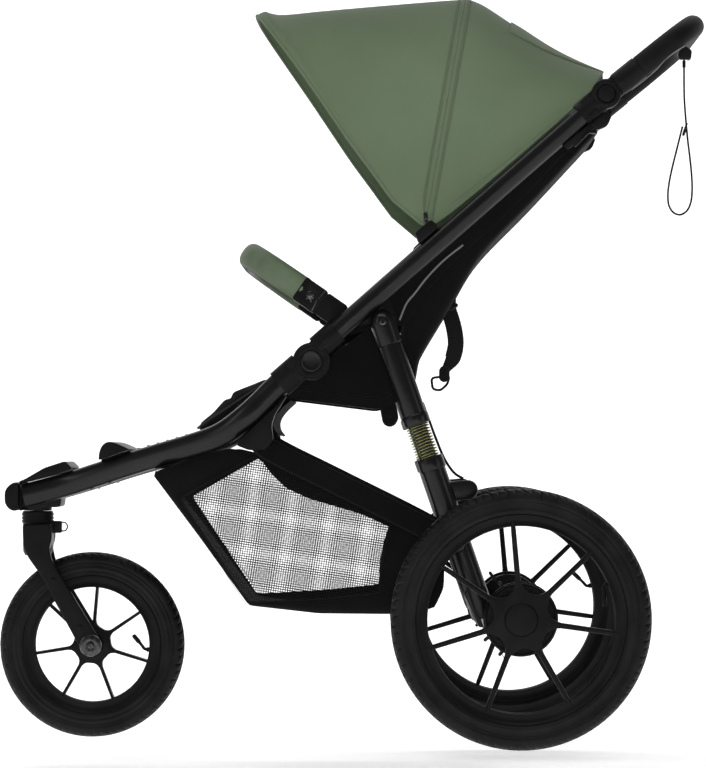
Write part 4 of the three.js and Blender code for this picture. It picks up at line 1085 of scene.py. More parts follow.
def rear_legs():
    """The two telescopic rear legs with springs, the axle beam, brake pedal and cable."""
    for side, s in SIDES.items():
        y = s * FRAME_Y
        cap = [(-18.2, 4), (-17.4, 7), (-14.6, 12), (-9, 16.8), (-3, 18.9), (4, 19.4), (33, 19.4),
               (35, 19.3), (35.6, 18.7), (36, 18.3), (36.6, 18.5), (148.5, 18.5), (149.4, 19.9),
               (150.6, 20.5), (163.4, 20.5), (164.6, 19.9), (165, 18.6), (165, 12.4)]
        leg = rod("leg", LEG_PIVOT, LEG_DIR, y, cap, "paint", 72)
        # A thin bright steel line along the cap's rounded rim stands for the highlight on that edge: a
        # painted highlight.
        stops = ((-13, 9), (-8, 14.4), (2, 17.4), (20, 17.6), (33, 17.6))
        edge = tube("edge", [mm(*on_leg(t, p), y + s * 9) for t, p in stops], oval(0.8, 0.8, 8), "steel")
        place(joined("upper_leg_finished_" + side, [leg, edge]), "rear_leg", "frame_paint",
              "upper_leg_" + side, angle=34)
        bead = screw("pivot_screw_" + side, mm(*LEG_PIVOT, y + s * 18.6), 6.5, "screw", s)
        place(bead, "rear_leg", "black_plastic")
        spring = coil("spring_coil_" + side, side)
        place(spring, "rear_leg", "spring_steel", "suspension_spring_" + side, angle=60)
        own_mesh(spring)

        low = [(140, 11.6), (217.6, 12), (218, 18.4), (218.6, 19.8), (220, 20.5), (236.4, 20.5),
               (237.6, 20), (238, 18.5), (440, 18.5), (466, 18.4), (474, 17), (478, 14)]
        shaft = rod("tube", LEG_PIVOT, LEG_DIR, y, low, "paint", 72)
        axle = REAR_AXLE
        shoe = plate("shoe", strip([on_leg(LEG["foot"] - 34), on_leg(LEG["foot"] + 4), axle], 17.5),
                     s * 198, s * 226, "plastic", 3, 4)
        lug = plate("lug", strip([(150, 388), (183, 391)], 15), s * 194, s * 214, "plastic", 3, 4)
        stub = lathe("stub", disc(6, 225, 284, 1), mm(*axle), "screw", 24, (0, s, 0))
        backing = [(0, 226), (22, 226), (24, 232), (46, 238), (51.5, 240), (52, 244), (52, 250.4),
                   (0, 250.4)]
        brake_plate = lathe("backing", backing, mm(*axle), "plastic", 72, (0, s, 0))
        socket = lathe("socket", disc(17, 193.5, 202, 1.5), mm(*BEAM), "plastic", 48, (0, s, 0))
        bolt = screw("bolt", mm(*BAR_REAR_PIN, y + s * 18.8), 9, "screw", s)
        pieces = [shaft, shoe, lug, stub, brake_plate, socket, bolt]
        for k, (turn, lean) in enumerate(((118, 2), (192, 6), (207, 4), (246, -6))):
            blade = strip([polar(axle, 44, turn), polar(axle, 62, turn + lean)], 2.6)
            pieces.append(plate(f"fin_{k}", blade, s * 238, s * 247, "plastic", 1))
        place(joined("lower_leg_finished_" + side, pieces), "rear_axle", "frame_paint",
              "lower_leg_" + side, angle=34)
        # The brake's cable end: a crimped steel ferrule and the tail of its wire.
        ferrule = [polar(axle, 57, 180), polar(axle, 54, 195)]
        wire = [polar(axle, 57, 236), polar(axle, 70, 254)]
        ends = []
        for part, (a, b), out, wide, finish in (("ferrule", ferrule, 244, 2.2, "steel"),
                                                ("wire", wire, 246, 0.7, "screw")):
            line = [mm(*a.lerp(b, k / 4), s * out) for k in range(5)]
            ends.append(tube(part, line, oval(wide, wide, 12 if part == "ferrule" else 8), finish))
        place(joined("brake_cable_end_" + side, ends), "rear_axle", "cable_rubber")
    beam = [(-193, 12), (-192, 13), (192, 13), (193, 12)]
    profile = [(0, -193), *[(r, h) for h, r in beam], (0, 193)]
    place(lathe("rear_axle_beam_finished", profile, mm(*BEAM), "paint", 64), "rear_axle",
          "frame_paint", "rear_axle_beam")
    refined("brake_pedal", "brake_pedal", "black_plastic", "plastic", 1.8)
    stops = ((114, 524), (123, 500), (134, 470), (148, 437), (163, 416), (176, 408))
    route = smooth([mm(x, z, -197) for x, z in stops], 8)
    place(tube("brake_cable_sheath", route, oval(2, 2, 16), "cable"), "rear_axle", "cable_rubber",
          "brake_cable")


# ---------------------------------------------------------------- front fork
def front_fork():
    """The swivel column, crown, two arms, lock and axle of the front wheel."""
    axle = FRONT_AXLE
    stem = [(0, 330), (23.4, 330), (23.6, 336), (24, 337.4), (25.2, 338), (25.2, 341), (24.2, 341.6),
            (24.2, 343), (25.2, 343.6), (25.2, 346.4), (24.2, 347), (24.2, 348.4), (25.2, 349),
            (25.2, 352), (24.2, 352.6), (24.2, 354), (23, 355.6), (8.5, 355.8), (8.5, 385), (0, 386)]
    column = lathe("column", stem, mm(SWIVEL_X, 0), "fork", 72, (0, 0, 1))
    crown_profile = [(0, 284), (20, 286), (23, 292), (23.4, 300), (23.5, 331), (0, 331)]
    crown = lathe("crown", crown_profile, mm(SWIVEL_X, 0), "fork", 72, (0, 0, 1))
    corners = [(-511, 334), (-467, 334), (-467, 308), (-471, 294), (-480, 284), (-505, 292)]
    bridge = plate("bridge", rounded(corners, 8), -36, 36, "fork", 7, 6)
    pieces = [column, crown, bridge]
    down = (axle - Vector((-470, 262))).normalized()
    across = Vector((-down.y, down.x))
    turns = [math.pi * k / 16 for k in range(17)]
    foot = [axle + (across * math.cos(a) + down * math.sin(a)) * 16.7 for a in turns]
    head = [(-466, 336), (-466, 311), (-470, 298), (-466, 279), (-452, 255)]
    back = [(-485, 258), (-503, 283), (-511, 301), (-512, 336)]
    arm = rounded([*head, *foot, *back], 5, 4)
    for s in SIDES.values():
        pieces.append(plate(f"arm_{s}", arm, s * 26.5, s * 37, "fork", 2.6, 4))
        for k, share in enumerate((0.16, 0.76)):
            at = Vector((-474, 268)).lerp(axle, share)
            pieces.append(screw(f"bolt_{s}_{k}", mm(*at, s * 36.6), 4.2, "screw", s))
    lock = [plate("lock", rounded([(-474, 321), (-453, 321), (-453, 340), (-474, 340)], 3), -10, 10,
                  "plastic", 1.6), screw("lock_screw", mm(-463, 331, -10), 3.4, "screw")]
    hook = smooth([(-453, 338), (-447, 337), (-444, 331), (-447, 325), (-453, 324)], 5)
    lock.append(tube("hook", [mm(*p, -3) for p in hook], oval(1.1, 1.1, 10), "steel"))
    place(joined("fork_finished", [*pieces, *lock]), "front_fork", "frame_paint", "fork", angle=34)
    heads = [lathe("shaft", disc(5.5, -38, 38, 0.5), mm(*axle), "screw", 24)]
    for s in SIDES.values():
        cap = [(0, 37.2), (17.2, 37.2), (17.4, 40), (16.8, 41.8), (15.4, 42.8), (9, 43.2), (7.6, 43),
               (7.2, 41.6), (0, 41.6)]
        heads.append(lathe(f"head_{s}", cap, mm(*axle), "plastic", 64, (0, s, 0)))
        heads.append(screw(f"screw_{s}", mm(*axle, s * 41.6), 6.4, "screw", s))
    place(joined("front_axle_finished", heads), "front_fork", "black_plastic", "front_axle", angle=34)


rear_legs()
front_fork()


# ---------------------------------------------------------------- canopy
CREST = [
    (-145, 1135), (-134, 1141.5), (-122, 1138), (-108, 1136), (-40, 1142), (70, 1151.5), (166, 1159),
    (188, 1160), (207, 1153), (265, 1115), (312, 1083), (354, 1060), (396, 1041),
]
HEM = [
    (110, 799), (112, 797), (114, 796), (116, 795.5), (118, 795), (126, 795.5), (140, 803), (190, 842),
    (250, 893), (311, 946), (371, 999),
]
FRONT_EDGE = [(110, 799), (96, 805), (82, 819), (62, 842), (44, 868), (7, 918), (-66, 1025), (-145, 1135)]
CANOPY_HALF = 190.5
BOWS = 91
ACROSS = 34


def canopy_point(q, t, lift=0.0):
    """A point on the canopy's left half, in millimetres: q runs from the front bow to the rear one, t from
    the side hem to the crest, and lift is the height above the cloth."""
    def on(line, share):
        """The point at a share of an evenly spaced line."""
        i = min(int(share * (len(line) - 1)), len(line) - 2)
        return Vector(line[i]).lerp(Vector(line[i + 1]), share * (len(line) - 1) - i)

    crest, hem = on(CREST_FINE, q), on(HEM_FINE, q)
    side = hem.lerp(crest, t)
    front = max(0.0, 1 - q / 0.42) ** 1.6
    side += (on(EDGE_FINE, t) - HEM_FINE[0].lerp(CREST_FINE[0], t)) * front
    square = 3.1 - 0.5 * max(0.0, q - 0.5)
    half = CANOPY_HALF * max(0.0, 1 - t ** square) ** (1 / square)
    pull = 2.2 * math.sin(math.pi * min(1, q / 0.47)) * math.sin(math.pi * t) ** 2
    over_hub = 7.5 * math.exp(-((side - Vector((108, 789))).length / 34) ** 2)
    y = half - pull + over_hub
    outwards = Vector((0, 0)) if t < 0.001 else (side - Vector(HEM_FINE[0])).normalized()
    top = t ** 6
    side += outwards * lift * top
    return side, y + lift * (1 - top)


CREST_FINE = even(smooth(CREST[:8], 10), 46) + even(smooth(CREST[7:], 10), 46)[1:]
HEM_FINE = even(smooth(HEM[:5], 10), 46) + even(smooth(HEM[4:], 10), 46)[1:]
EDGE_FINE = even(smooth(FRONT_EDGE, 10), 60)
ZIP_Q = 0.492


def bow_line(q, count=ACROSS, lift=0.0, lowest=0.0):
    """The whole bow at q, from the left hem over the crest to the right hem."""
    left = []
    for i in range(count + 1):
        angle = math.pi / 2 * i / count
        t = lowest + (1 - lowest) * math.sin(angle) ** (2 / 3)
        side, y = canopy_point(q, t, lift)
        left.append(mm(*side, -y))
    return left + [Vector((p.x, -p.y, p.z)) for p in left[-2::-1]]


def zip_line(offset, lift):
    """A line beside the zip, at a steady distance from it in millimetres."""
    left = []
    for i in range(ACROSS + 1):
        t = math.sin(math.pi / 2 * i / ACROSS) ** (2 / 3)
        middle = canopy_point(ZIP_Q, t)[0]
        q = ZIP_Q
        while abs(q - ZIP_Q) < 0.15 and (canopy_point(q, t)[0] - middle).length < abs(offset):
            q += math.copysign(0.001, offset)
        side, y = canopy_point(q, t, lift)
        left.append(mm(*side, -y))
    return left + [Vector((p.x, -p.y, p.z)) for p in left[-2::-1]]


def hem_line(t, side, q0, q1, count=60, lift=0.0):
    """A line along the canopy at the same share of the way up, on one side."""
    made = []
    for i in range(count + 1):
        at, y = canopy_point(q0 + (q1 - q0) * i / count, t, lift)
        made.append(mm(*at, SIDES[side] * y))
    return made


def with_canopy(piece):
    """Bakes the placement of a canopy piece into its mesh."""
    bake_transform(piece)


def shaded(piece, angle=50):
    """Smooth shading, with edges above the angle kept sharp."""
    piece.data.shade_smooth()
    piece.data.set_sharp_from_angle(angle=math.radians(angle))
    return piece


def canopy():
    """One stretched sheet over three bows, with its bindings, seams, zip and rear vent flap."""
    rings = [bow_line(i / (BOWS - 1)) for i in range(BOWS)]
    sheet = skin("canopy_sheet", rings, "green", wrap=False)
    thickened(sheet, 2.0, -1)
    trims = []

    def seam(name, line, section, finish):
        """One more seam or binding of the canopy's trim."""
        trims.append(tube(name, line, section, finish))

    seam("front_binding", bow_line(0.0, lift=-0.6), oval(2.6, 2.6, 14), "green")
    seam("front_stitch", bow_line(0.019, lift=0.1), oval(0.5, 0.5, 6), "stitch")
    for k, (offset, wide) in enumerate(((-10.5, 0.75), (-6, 0.6), (0, 1.5), (6, 0.6), (10.5, 0.75))):
        seam(f"zip_{k}", zip_line(offset, 0.3), oval(wide, wide * 0.6, 8), "edging" if k == 2 else "stitch")
    for k, offset in enumerate((-8.3, 8.3)):
        seam(f"zip_fold_{k}", zip_line(offset, 0.1), oval(1.8, 0.8, 8), "green")
    for side in SIDES:
        seam("rear_binding_" + side, hem_line(0.0, side, 0.0, 1, 80), oval(2.2, 2.2, 12), "green")
        seam("rear_stitch_" + side, hem_line(0.045, side, 0.56, 0.995, lift=0.1), oval(0.5, 0.5, 6),
             "stitch")
    seam("rear_edge", bow_line(1.0), oval(2.2, 2.2, 12), "green")
    flap_rings = [bow_line(q, 14, 2.6 - 1.6 * abs(k / 14 * 2 - 1) ** 4, 0.915) for k, q in
                  enumerate([0.66 + 0.34 * k / 14 for k in range(15)])]
    flap = skin("flap", flap_rings, "green", wrap=False)
    trims.append(thickened(flap, 1.6, 1))
    # Dark thread lines along the flap's two lower edges: a stitched edge, drawn dark as painted shadow under
    # the flap's lip.
    for k, row in enumerate((0, -1)):
        seam(f"flap_edge_shadow_{k}", [ring[row] for ring in flap_rings], oval(1.6, 1.6, 8), "stitch")
    pullers = []
    for side, s in SIDES.items():
        at, y = canopy_point(ZIP_Q, 0.02, 1)
        tab = plate("tab", strip([(at.x, at.y + 6), (at.x + 2, at.y - 12)], 2.6), s * y, s * (y + 1.8),
                    "screw", 0.5)
        slider = plate("slider", strip([(at.x - 0.6, at.y + 9), (at.x, at.y + 3)], 3.4), s * (y - 0.6),
                       s * (y + 2.6), "screw", 0.8)
        pullers += [tab, slider]
    trim = joined("canopy_trim", trims)
    zips = joined("canopy_zip_pullers", pullers)
    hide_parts("canopy_front", "canopy_rear")
    for piece in (sheet, trim, zips):
        shaded(piece)
        with_canopy(piece)


canopy()


# ---------------------------------------------------------------- basket
BASKET = [
    (-302, 417), (-228, 318), (-152, 213), (-45, 201), (64, 200), (132, 208), (147, 240), (149, 312),
    (-122, 440), (-180, 455), (-222, 446),
]
WINDOW = [
    (-257, 377), (-146, 441), (-136, 439), (-129, 433), (-118, 417), (-94, 394), (-59, 378), (-18, 366),
    (19, 355), (66, 334), (57, 305), (50, 273), (48, 233), (-30, 225), (-109, 220), (-152, 218),
]
NET = [(-257, 377), (-146, 441), (-132, 438), (67, 336), (57, 305), (50, 273), (48, 233), (-30, 225),
       (-109, 220), (-152, 218)]
BASKET_HALF = 171.0
BASKET_CENTRE = Vector((-88, 318))
LOOP = 180


def ray_hit(outline, turn):
    """How far a ray from the basket's centre goes to an outline round it."""
    direction = Vector((math.cos(turn), math.sin(turn)))
    best = 0.0
    for a, b in zip(outline, outline[1:] + outline[:1]):
        edge = b - a
        below = direction.x * edge.y - direction.y * edge.x
        if abs(below) < 1e-9:
            continue
        to = a - BASKET_CENTRE
        reach = (to.x * edge.y - to.y * edge.x) / below
        share = (to.x * direction.y - to.y * direction.x) / below
        if reach > best and -1e-6 <= share <= 1 + 1e-6:
            best = reach
    return best


def from_centre(turn, reach):
    """The side-view point at a turn and a distance from the basket's centre."""
    return BASKET_CENTRE + Vector((math.cos(turn), math.sin(turn))) * reach


def beside(p, a, b):
    """Whether a point is within 4.5 mm of the line from a to b."""
    along_line = (b - a).normalized()
    return 0 <= (p - a).dot(along_line) <= (b - a).length and abs(along_line.cross(p - a)) < 4.5


def side_bulge(p):
    """How far the basket's side stands out at a side-view point: full low down, pulled in at the bars."""
    height = min(1, max(0, (p.y - 200) / 240))
    length = min(1, max(0, (p.x + 297) / 446))
    ripple = 0.9 * math.sin(p.x * 0.07 + p.y * 0.031) * math.sin(p.y * 0.052 - p.x * 0.017)
    fullness = math.sin(math.pi * min(1, 0.18 + height * 0.82))
    return 5.5 * math.sin(math.pi * length) ** 0.7 * fullness + ripple


def basket_bag():
    """The bag: two side panels round their windows, and the band that runs under them from front to rear."""
    outer = rounded(BASKET, 7, 5)
    inner = rounded(WINDOW, 5, 5)
    turns = [2 * math.pi * k / LOOP for k in range(LOOP)]
    edge = [ray_hit(outer, turn) for turn in turns]
    hole = [ray_hit(inner, turn) for turn in turns]
    top_line = [Vector(p) for p in BASKET[-4:]] + [Vector(BASKET[0])]
    rim = []
    for turn, reach in zip(turns, edge):
        p = from_centre(turn, reach)
        rim.append(any(beside(p, a, b) for a, b in zip(top_line, top_line[1:])))

    rows = []
    for share in (0, 0.04, 0.12, 0.3, 0.5, 0.7, 0.86, 0.95, 0.985):
        row = []
        for k in range(LOOP):
            p = from_centre(turns[k], hole[k] + (edge[k] - hole[k]) * share)
            row.append(mm(*p, -(BASKET_HALF - 6 * share ** 5 + side_bulge(p) * (1 - share ** 3))))
        rows.append(row)
    for c in (1, 0.9, 0.72, 0.5, 0.25, 0):
        row = []
        for k in range(LOOP):
            sag = 2.4 * math.cos(c * math.pi / 2) * (1 - 0.5 * abs(math.sin(turns[k] * 9)))
            p = from_centre(turns[k], edge[k] + (0 if rim[k] else sag))
            row.append(mm(*p, -(BASKET_HALF - 7) * c))
        rows.append(row)
    rows += [[Vector((p.x, -p.y, p.z)) for p in row] for row in rows[-2::-1]]
    panels = 9
    last = len(rows) - panels
    vertices = [p for row in rows for p in row]
    faces = []
    for i in range(len(rows) - 1):
        for k in range(LOOP):
            n = (k + 1) % LOOP
            if panels - 1 <= i < last and rim[k] and rim[n]:
                continue
            faces.append((i * LOOP + k, i * LOOP + n, (i + 1) * LOOP + n, (i + 1) * LOOP + k))
    mesh = bpy.data.meshes.new("basket_bag")
    mesh.from_pydata([tuple(p) for p in vertices], [], faces)
    thread = mesh.uv_layers.new(name="thread")
    for loop in mesh.loops:
        p = mesh.vertices[loop.vertex_index].co
        side_panel = abs(p.y) > 0.1
        thread.data[loop.index].uv = (p.x, p.z) if side_panel else (p.y, p.x + p.z)
    tidy_mesh(mesh)
    return new_piece("basket_bag", mesh, "cloth")


def basket_net(side):
    """The see-through window: threads both ways, as real strands on the side's curve."""
    s = SIDES[side]
    pitch, thick, tilt = 3.7, 0.44, math.radians(-9)
    outline = rounded(NET, 5, 4)
    c, sn = math.cos(tilt), math.sin(tilt)
    turned = [Vector((p.x * c + p.y * sn, -p.x * sn + p.y * c)) for p in outline]
    vertices, faces = [], []
    for way in (0, 1):
        low = min(p[way] for p in turned)
        high = max(p[way] for p in turned)
        for k in range(int((high - low) / pitch)):
            level = low + (k + 0.5) * pitch
            hits = []
            for a, b in zip(turned, turned[1:] + turned[:1]):
                if (a[way] - level) * (b[way] - level) < 0:
                    share = (level - a[way]) / (b[way] - a[way])
                    hits.append(a[1 - way] + (b[1 - way] - a[1 - way]) * share)
            if len(hits) < 2:
                continue
            first, final = min(hits) - 3, max(hits) + 3
            count = max(2, int((final - first) / 14))
            for i in range(count + 1):
                u = first + (final - first) * i / count
                q = (u, level) if way else (level, u)
                p = Vector((q[0] * c - q[1] * sn, q[0] * sn + q[1] * c))
                y = s * (BASKET_HALF + 1.2 + side_bulge(p) + 0.3 * way)
                flat = Vector((-sn, c)) if way else Vector((c, sn))
                for a, b in ((-1, 0), (0, -1), (1, 0), (0, 1)):
                    vertices.append(mm(p.x + flat.x * a * thick, p.y + flat.y * a * thick, y + b * thick))
                if i:
                    base = len(vertices) - 8
                    faces += [(base + j, base + (j + 1) % 4, base + 4 + (j + 1) % 4, base + 4 + j)
                              for j in range(4)]
            start = len(vertices) - 4 * (count + 1)
            faces.append(tuple(start + j for j in (3, 2, 1, 0)))
            faces.append(tuple(len(vertices) - 4 + j for j in range(4)))
    mesh = bpy.data.meshes.new("basket_net_" + side)
    mesh.from_pydata([tuple(p) for p in vertices], [], faces)
    layer = mesh.uv_layers.new(name="thread")
    for loop in mesh.loops:
        p = mesh.vertices[loop.vertex_index].co
        layer.data[loop.index].uv = (p.x, p.z)
    return new_piece("basket_net_" + side, mesh, "net")


def folded_flat(piece):
    """Fixes a piece of the basket to the front frame, with a mesh of its own."""
    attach(piece, "front_frame")
    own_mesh(piece)


def basket():
    """The bag, its two net windows, and the bindings and seams round them."""
    bag = basket_bag()
    thickened(bag, 1.6, -1)
    shaded(bag)
    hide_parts("basket")
    nets = []
    for side, s in SIDES.items():
        net = basket_net(side)
        nets.append(net)
        border = []
        for scale, wide in ((1.0, 1.5), (1.045, 0.5)):
            line = []
            for k in range(LOOP + 1):
                turn = 2 * math.pi * k / LOOP
                p = from_centre(turn, ray_hit(rounded(WINDOW, 5, 4), turn) * scale)
                line.append(mm(*p, s * (BASKET_HALF + side_bulge(p) + 0.5)))
            finish = "cloth" if wide > 1 else "edging"
            border.append(tube("edge", line, oval(wide, wide * 0.7, 8), finish, caps=False))
        turns = [math.radians(132 + 96 * k / 60) for k in range(61)]
        band = [from_centre(a, ray_hit(rounded(BASKET, 7, 4), a) - 9) for a in turns]
        line = [mm(*p, s * (BASKET_HALF - 2 + side_bulge(p))) for p in band]
        border.append(tube("band", line, oval(0.5, 0.5, 6), "edging"))
        border = joined("basket_edging_" + side, border)
        nets.append(shaded(border))
    for piece in (bag, *nets):
        folded_flat(piece)


# ---------------------------------------------------------------- lower bars, wrapped in padded cloth
def lower_bars():
    """The two bars under the seat, each in its padded cloth wrap with seams and a flange."""
    line = smooth([BAR_FRONT, Vector((-126, 456)), Vector((-20, 402)), Vector((108, 338)), BAR_REAR_PIN], 8)
    for side, s in SIDES.items():
        pieces = [plate("wrap", strip(line, 17, 12), s * 177, s * 191, "cloth", 5, 5)]
        for offset, finish, wide in ((11.6, "edging", 0.6), (-7, "edging", 0.6), (-13.5, "piping", 0.9)):
            path = []
            for i in range(2, len(line) - 3):
                d = (line[i + 1] - line[i - 1]).normalized()
                p = line[i] + Vector((-d.y, d.x)) * offset
                path.append(mm(*p, s * 190.6))
            pieces.append(tube("seam", path, oval(wide, wide, 8), finish))
        upper = [p + Vector((0.42, 0.9)) * 20 for p in line]
        lower = [p + Vector((0.42, 0.9)) * 10 for p in line]
        pieces.append(plate("flange", upper[3:-3] + lower[3:-3][::-1], s * 178, s * 184, "cloth", 1.5, 3))
        for piece in (pieces[0], pieces[-1]):
            thread_box(piece)
        place(joined("lower_bar_wrap_" + side, pieces), "lower_bars", "black_fabric",
              "lower_bar_" + side, angle=60)


def thread_box(piece):
    """A thread map in metres for a mesh that has none: each face takes the two directions it faces least."""
    mesh = piece.data
    layer = mesh.uv_layers.get("thread") or mesh.uv_layers.new(name="thread")
    for face in mesh.polygons:
        n = [abs(v) for v in face.normal]
        axes = sorted(range(3), key=lambda a: n[a])[:2]
        axes.sort()
        for loop in face.loop_indices:
            co = mesh.vertices[mesh.loops[loop].vertex_index].co
            layer.data[loop].uv = (co[axes[0]], co[axes[1]])
    return piece


basket()
lower_bars()


# ---------------------------------------------------------------- seat
QUILT_WIDTH = 14
QUILT_DEPTH = 4.5
PUFF_CELL = 0.0055
PUFF_STEPS = 20


def quilted(pad, channels):
    """Presses stitched channels, each (x, z, nx, nz) in mm, into a pad along its own normals."""
    where, push = [], []
    for vertex in pad.data.vertices:
        where.append(vertex.co.copy())
        push.append(vertex.normal.copy())
    moved = []
    for co, normal in zip(where, push):
        deep = 0.0
        for x, z, nx, nz in channels:
            off = abs((co.x * 1000 - x) * nx + (co.z * 1000 - z) * nz) / math.hypot(nx, nz)
            if off < QUILT_WIDTH:
                deep += QUILT_DEPTH * (0.5 + 0.5 * math.cos(math.pi * off / QUILT_WIDTH)) ** 2
        moved += (co - normal * deep * MM)[:]
    pad.data.vertices.foreach_set("co", moved)
    pad.data.update()


def puffed(name, outline, y0, y1, cap, bevel=6.0, channels=()):
    """A stuffed pad: a soft-cornered solid, blown up by a cloth simulation, then quilted along its channels.
    outline is its side view, cap the most that a point may move, and channels are (x, z, nx, nz) lines."""
    pad = plate(name, outline, y0, y1, "cloth", bevel, 4)
    remesh = pad.modifiers.new("cells", "REMESH")
    remesh.mode = "VOXEL"
    remesh.voxel_size = PUFF_CELL
    applied(pad)
    before = [v.co.copy() for v in pad.data.vertices]
    cloth = pad.modifiers.new("air", "CLOTH")
    cloth.settings.use_pressure = True
    cloth.settings.uniform_pressure_force = 4
    cloth.settings.effector_weights.gravity = 0
    cloth.settings.quality = 5
    for step in range(1, PUFF_STEPS + 1):
        SCENE.frame_set(step)
    applied(pad)
    SCENE.frame_set(1)
    for vertex, was in zip(pad.data.vertices, before):
        move = vertex.co - was
        if move.length > cap * MM:
            vertex.co = was + move.normalized() * cap * MM
    subdivided(pad)
    quilted(pad, channels)
    pad.data.materials.clear()
    pad.data.materials.append(FINISH["cloth"])
    for layer in list(pad.data.uv_layers):
        pad.data.uv_layers.remove(layer)
    return thread_box(pad)


def strap(name, line, width, finish="webbing", thick=1.5, side=(0, 1, 0)):
    """Flat webbing along a line, in metres."""
    return tube(name, line, oval(width / 2, thick / 2, 16, 5), finish, None, side)


def seat_base():
    """The seat's shell with its seams and rollers, the cushion, and the padded calf rest."""
    corners = [(-104, 520), (-92, 531), (45, 514), (79, 530), (86, 562), (76, 638), (50, 655), (-20, 599),
               (-86, 551)]
    side_view = rounded(corners, 8, 5)
    pan = rounded([(-84, 533), (44, 517), (76, 532), (80, 552), (60, 556), (-78, 558)], 6)
    pieces = [plate(f"wall_{s}", side_view, s * 151.5, s * 158, "cloth", 2.6, 4) for s in SIDES.values()]
    pieces.append(plate("pan", pan, -152, 152, "cloth", 3))
    for s in SIDES.values():
        low = [(-86, 545), (-20, 538), (44, 529.5), (66, 538), (74, 556), (69, 600), (62, 634)]
        for shift in (0, -5):
            line = smooth([Vector(p) + Vector((0.3 * shift, -0.9 * shift)) for p in low], 6)
            path = [mm(*p, s * 158.3) for p in line]
            pieces.append(tube("seam", path, oval(0.7, 0.7, 8), "edging"))
        hook = plate("hook", strip([(62, 518), (65, 502)], 12.5), s * 146, s * 157, "plastic", 3)
        wheel = lathe("roller", disc(6.5, 156, 160, 1), mm(63, 508), "screw", 32, (0, s, 0))
        pieces += [hook, wheel]
    for piece in pieces:
        if piece.data.materials[0] == FINISH["cloth"]:
            thread_box(piece)
    place(joined("seat_base_shell", pieces), "front_frame", "black_fabric", "seat_base", angle=50)
    corners = [(-72, 564), (58, 560), (66, 570), (60, 580), (-70, 582)]
    cushion = puffed("seat_cushion", rounded(corners, 6), -142, 142, 6,
                     channels=((-30, 575, 1, 0), (15, 575, 1, 0)))
    place(cushion, "front_frame", "black_fabric", angle=60)
    corners = [(-236, 482), (-209, 503), (-178, 536), (-140, 551), (-114, 563), (-110, 558), (-132, 543),
               (-165, 525), (-200, 491), (-230, 475)]
    calf = puffed("calf_pad", rounded(corners, 5), -143, 143, 5, 4, channels=((-180, 530, 0.75, 0.66),))
    place(calf, "front_frame", "black_fabric", "calf_rest", angle=60)
    line = even(u_line(Vector((-112, 566)), Vector((-0.83, -0.55)), 8, 146, 146, 30), 90)
    hem = tube("calf_piping", line, oval(1.4, 1.4, 10), "edging")
    place(hem, "front_frame", "black_fabric")


BACK_REAR = [(104, 560), (110, 590), (118, 606), (166, 686), (203, 747), (290, 838), (383, 938)]
BACK_FRONT = [(91, 566), (84, 600), (86, 650), (118, 702), (168, 752), (228, 806), (298, 876), (372, 950)]
BACK_ROWS = 44


def seat_back():
    """The back: one sheet bent into a trough, with piped wings, a quilted pad, harness and recline strap."""
    rear = even(smooth(BACK_REAR, 8), BACK_ROWS)
    front = even(smooth(BACK_FRONT, 8), BACK_ROWS)
    rings = []
    half = 185.0
    corner = 16
    for k, (r, f) in enumerate(zip(rear, front)):
        bow = 5 * math.sin(math.pi * k / (BACK_ROWS - 1))
        inward = (f - r).normalized() if (f - r).length > 1 else Vector((-1, 0))
        ring = [mm(*f, -half), mm(*f.lerp(r, 0.35), -half), mm(*f.lerp(r, 0.7), -half)]
        for j in range(7):
            a = math.pi / 2 * j / 6
            p = r + inward * min(corner, (f - r).length * 0.28) * (1 - math.sin(a))
            ring.append(mm(*p, -half + corner * (1 - math.cos(a))))
        for share in (0.75, 0.5, 0.25):
            ring.append(mm(*(r + inward * bow * (1 - share)), -half * share))
        ring.append(mm(*(r + inward * bow), 0))
        rings.append(ring + [Vector((p.x, -p.y, p.z)) for p in ring[-2::-1]])
    shell = skin("seat_back_sheet", rings, "cloth", wrap=False)
    thickened(shell, 3.2, -1 if shell.data.polygons[0].normal.y < 0 else 1)
    trims = []
    for s in SIDES.values():
        trims.append(tube("edge", [mm(*p, s * 184.5) for p in front], oval(1.9, 1.9, 12), "webbing"))
    trims = joined("seat_back_trim", trims)
    place(shell, "seat_back", "black_fabric", "seat_back", angle=60)
    place(trims, "seat_back", "black_fabric")
    board = [(98, 582), (112, 612), (158, 690), (195, 752), (282, 846), (366, 934), (355, 940),
             (272, 856), (184, 764), (146, 702), (98, 622), (90, 592)]
    pad = puffed("back_pad", rounded(board, 6), -168, 168, 8, 5,
                 channels=((150, 690, 0.55, 0.83), (208, 770, 0.7, 0.7), (275, 843, 0.7, 0.7)))
    place(pad, "seat_back", "black_fabric", angle=60)
    harness()
    recline_strap()


def harness():
    """Five straps with shoulder pads, and their buckle."""
    straps = []
    for s in SIDES.values():
        points = [mm(252, 850, s * 46), mm(236, 842, s * 46), mm(196, 796, s * 47),
                  mm(150, 728, s * 48), mm(112, 664, s * 46), mm(78, 612, s * 30), mm(66, 600, s * 14)]
        line = even(smooth(points, 8), 60)
        straps.append(strap("shoulder", line, 25))
        padded_part = [p + Vector((-0.003, 0, 0.003)) for p in line[6:30]]
        straps.append(strap("shoulder_pad", padded_part, 46, "cloth", 8))
        points = [mm(70, 590, s * 140), mm(60, 596, s * 100), mm(55, 602, s * 50), mm(58, 602, s * 16)]
        lap = even(smooth(points, 8), 40)
        straps.append(strap("lap", lap, 25, side=(0.3, 0, 1)))
    crotch = even(smooth([mm(20, 582), mm(30, 588), mm(44, 598), mm(54, 602)], 6), 16)
    straps.append(strap("crotch", crotch, 25))
    corners = [(46, 594), (72, 594), (74, 608), (48, 610)]
    buckle = plate("buckle", rounded(corners, 4), -22, 22, "plastic", 3)
    button = lathe("release", disc(8, 0, 3, 1), mm(60, 609), "screw", 32, (-0.1, 0, 1))
    place(joined("harness", [*straps, buckle, button]), "seat_back", "black_fabric", angle=50)


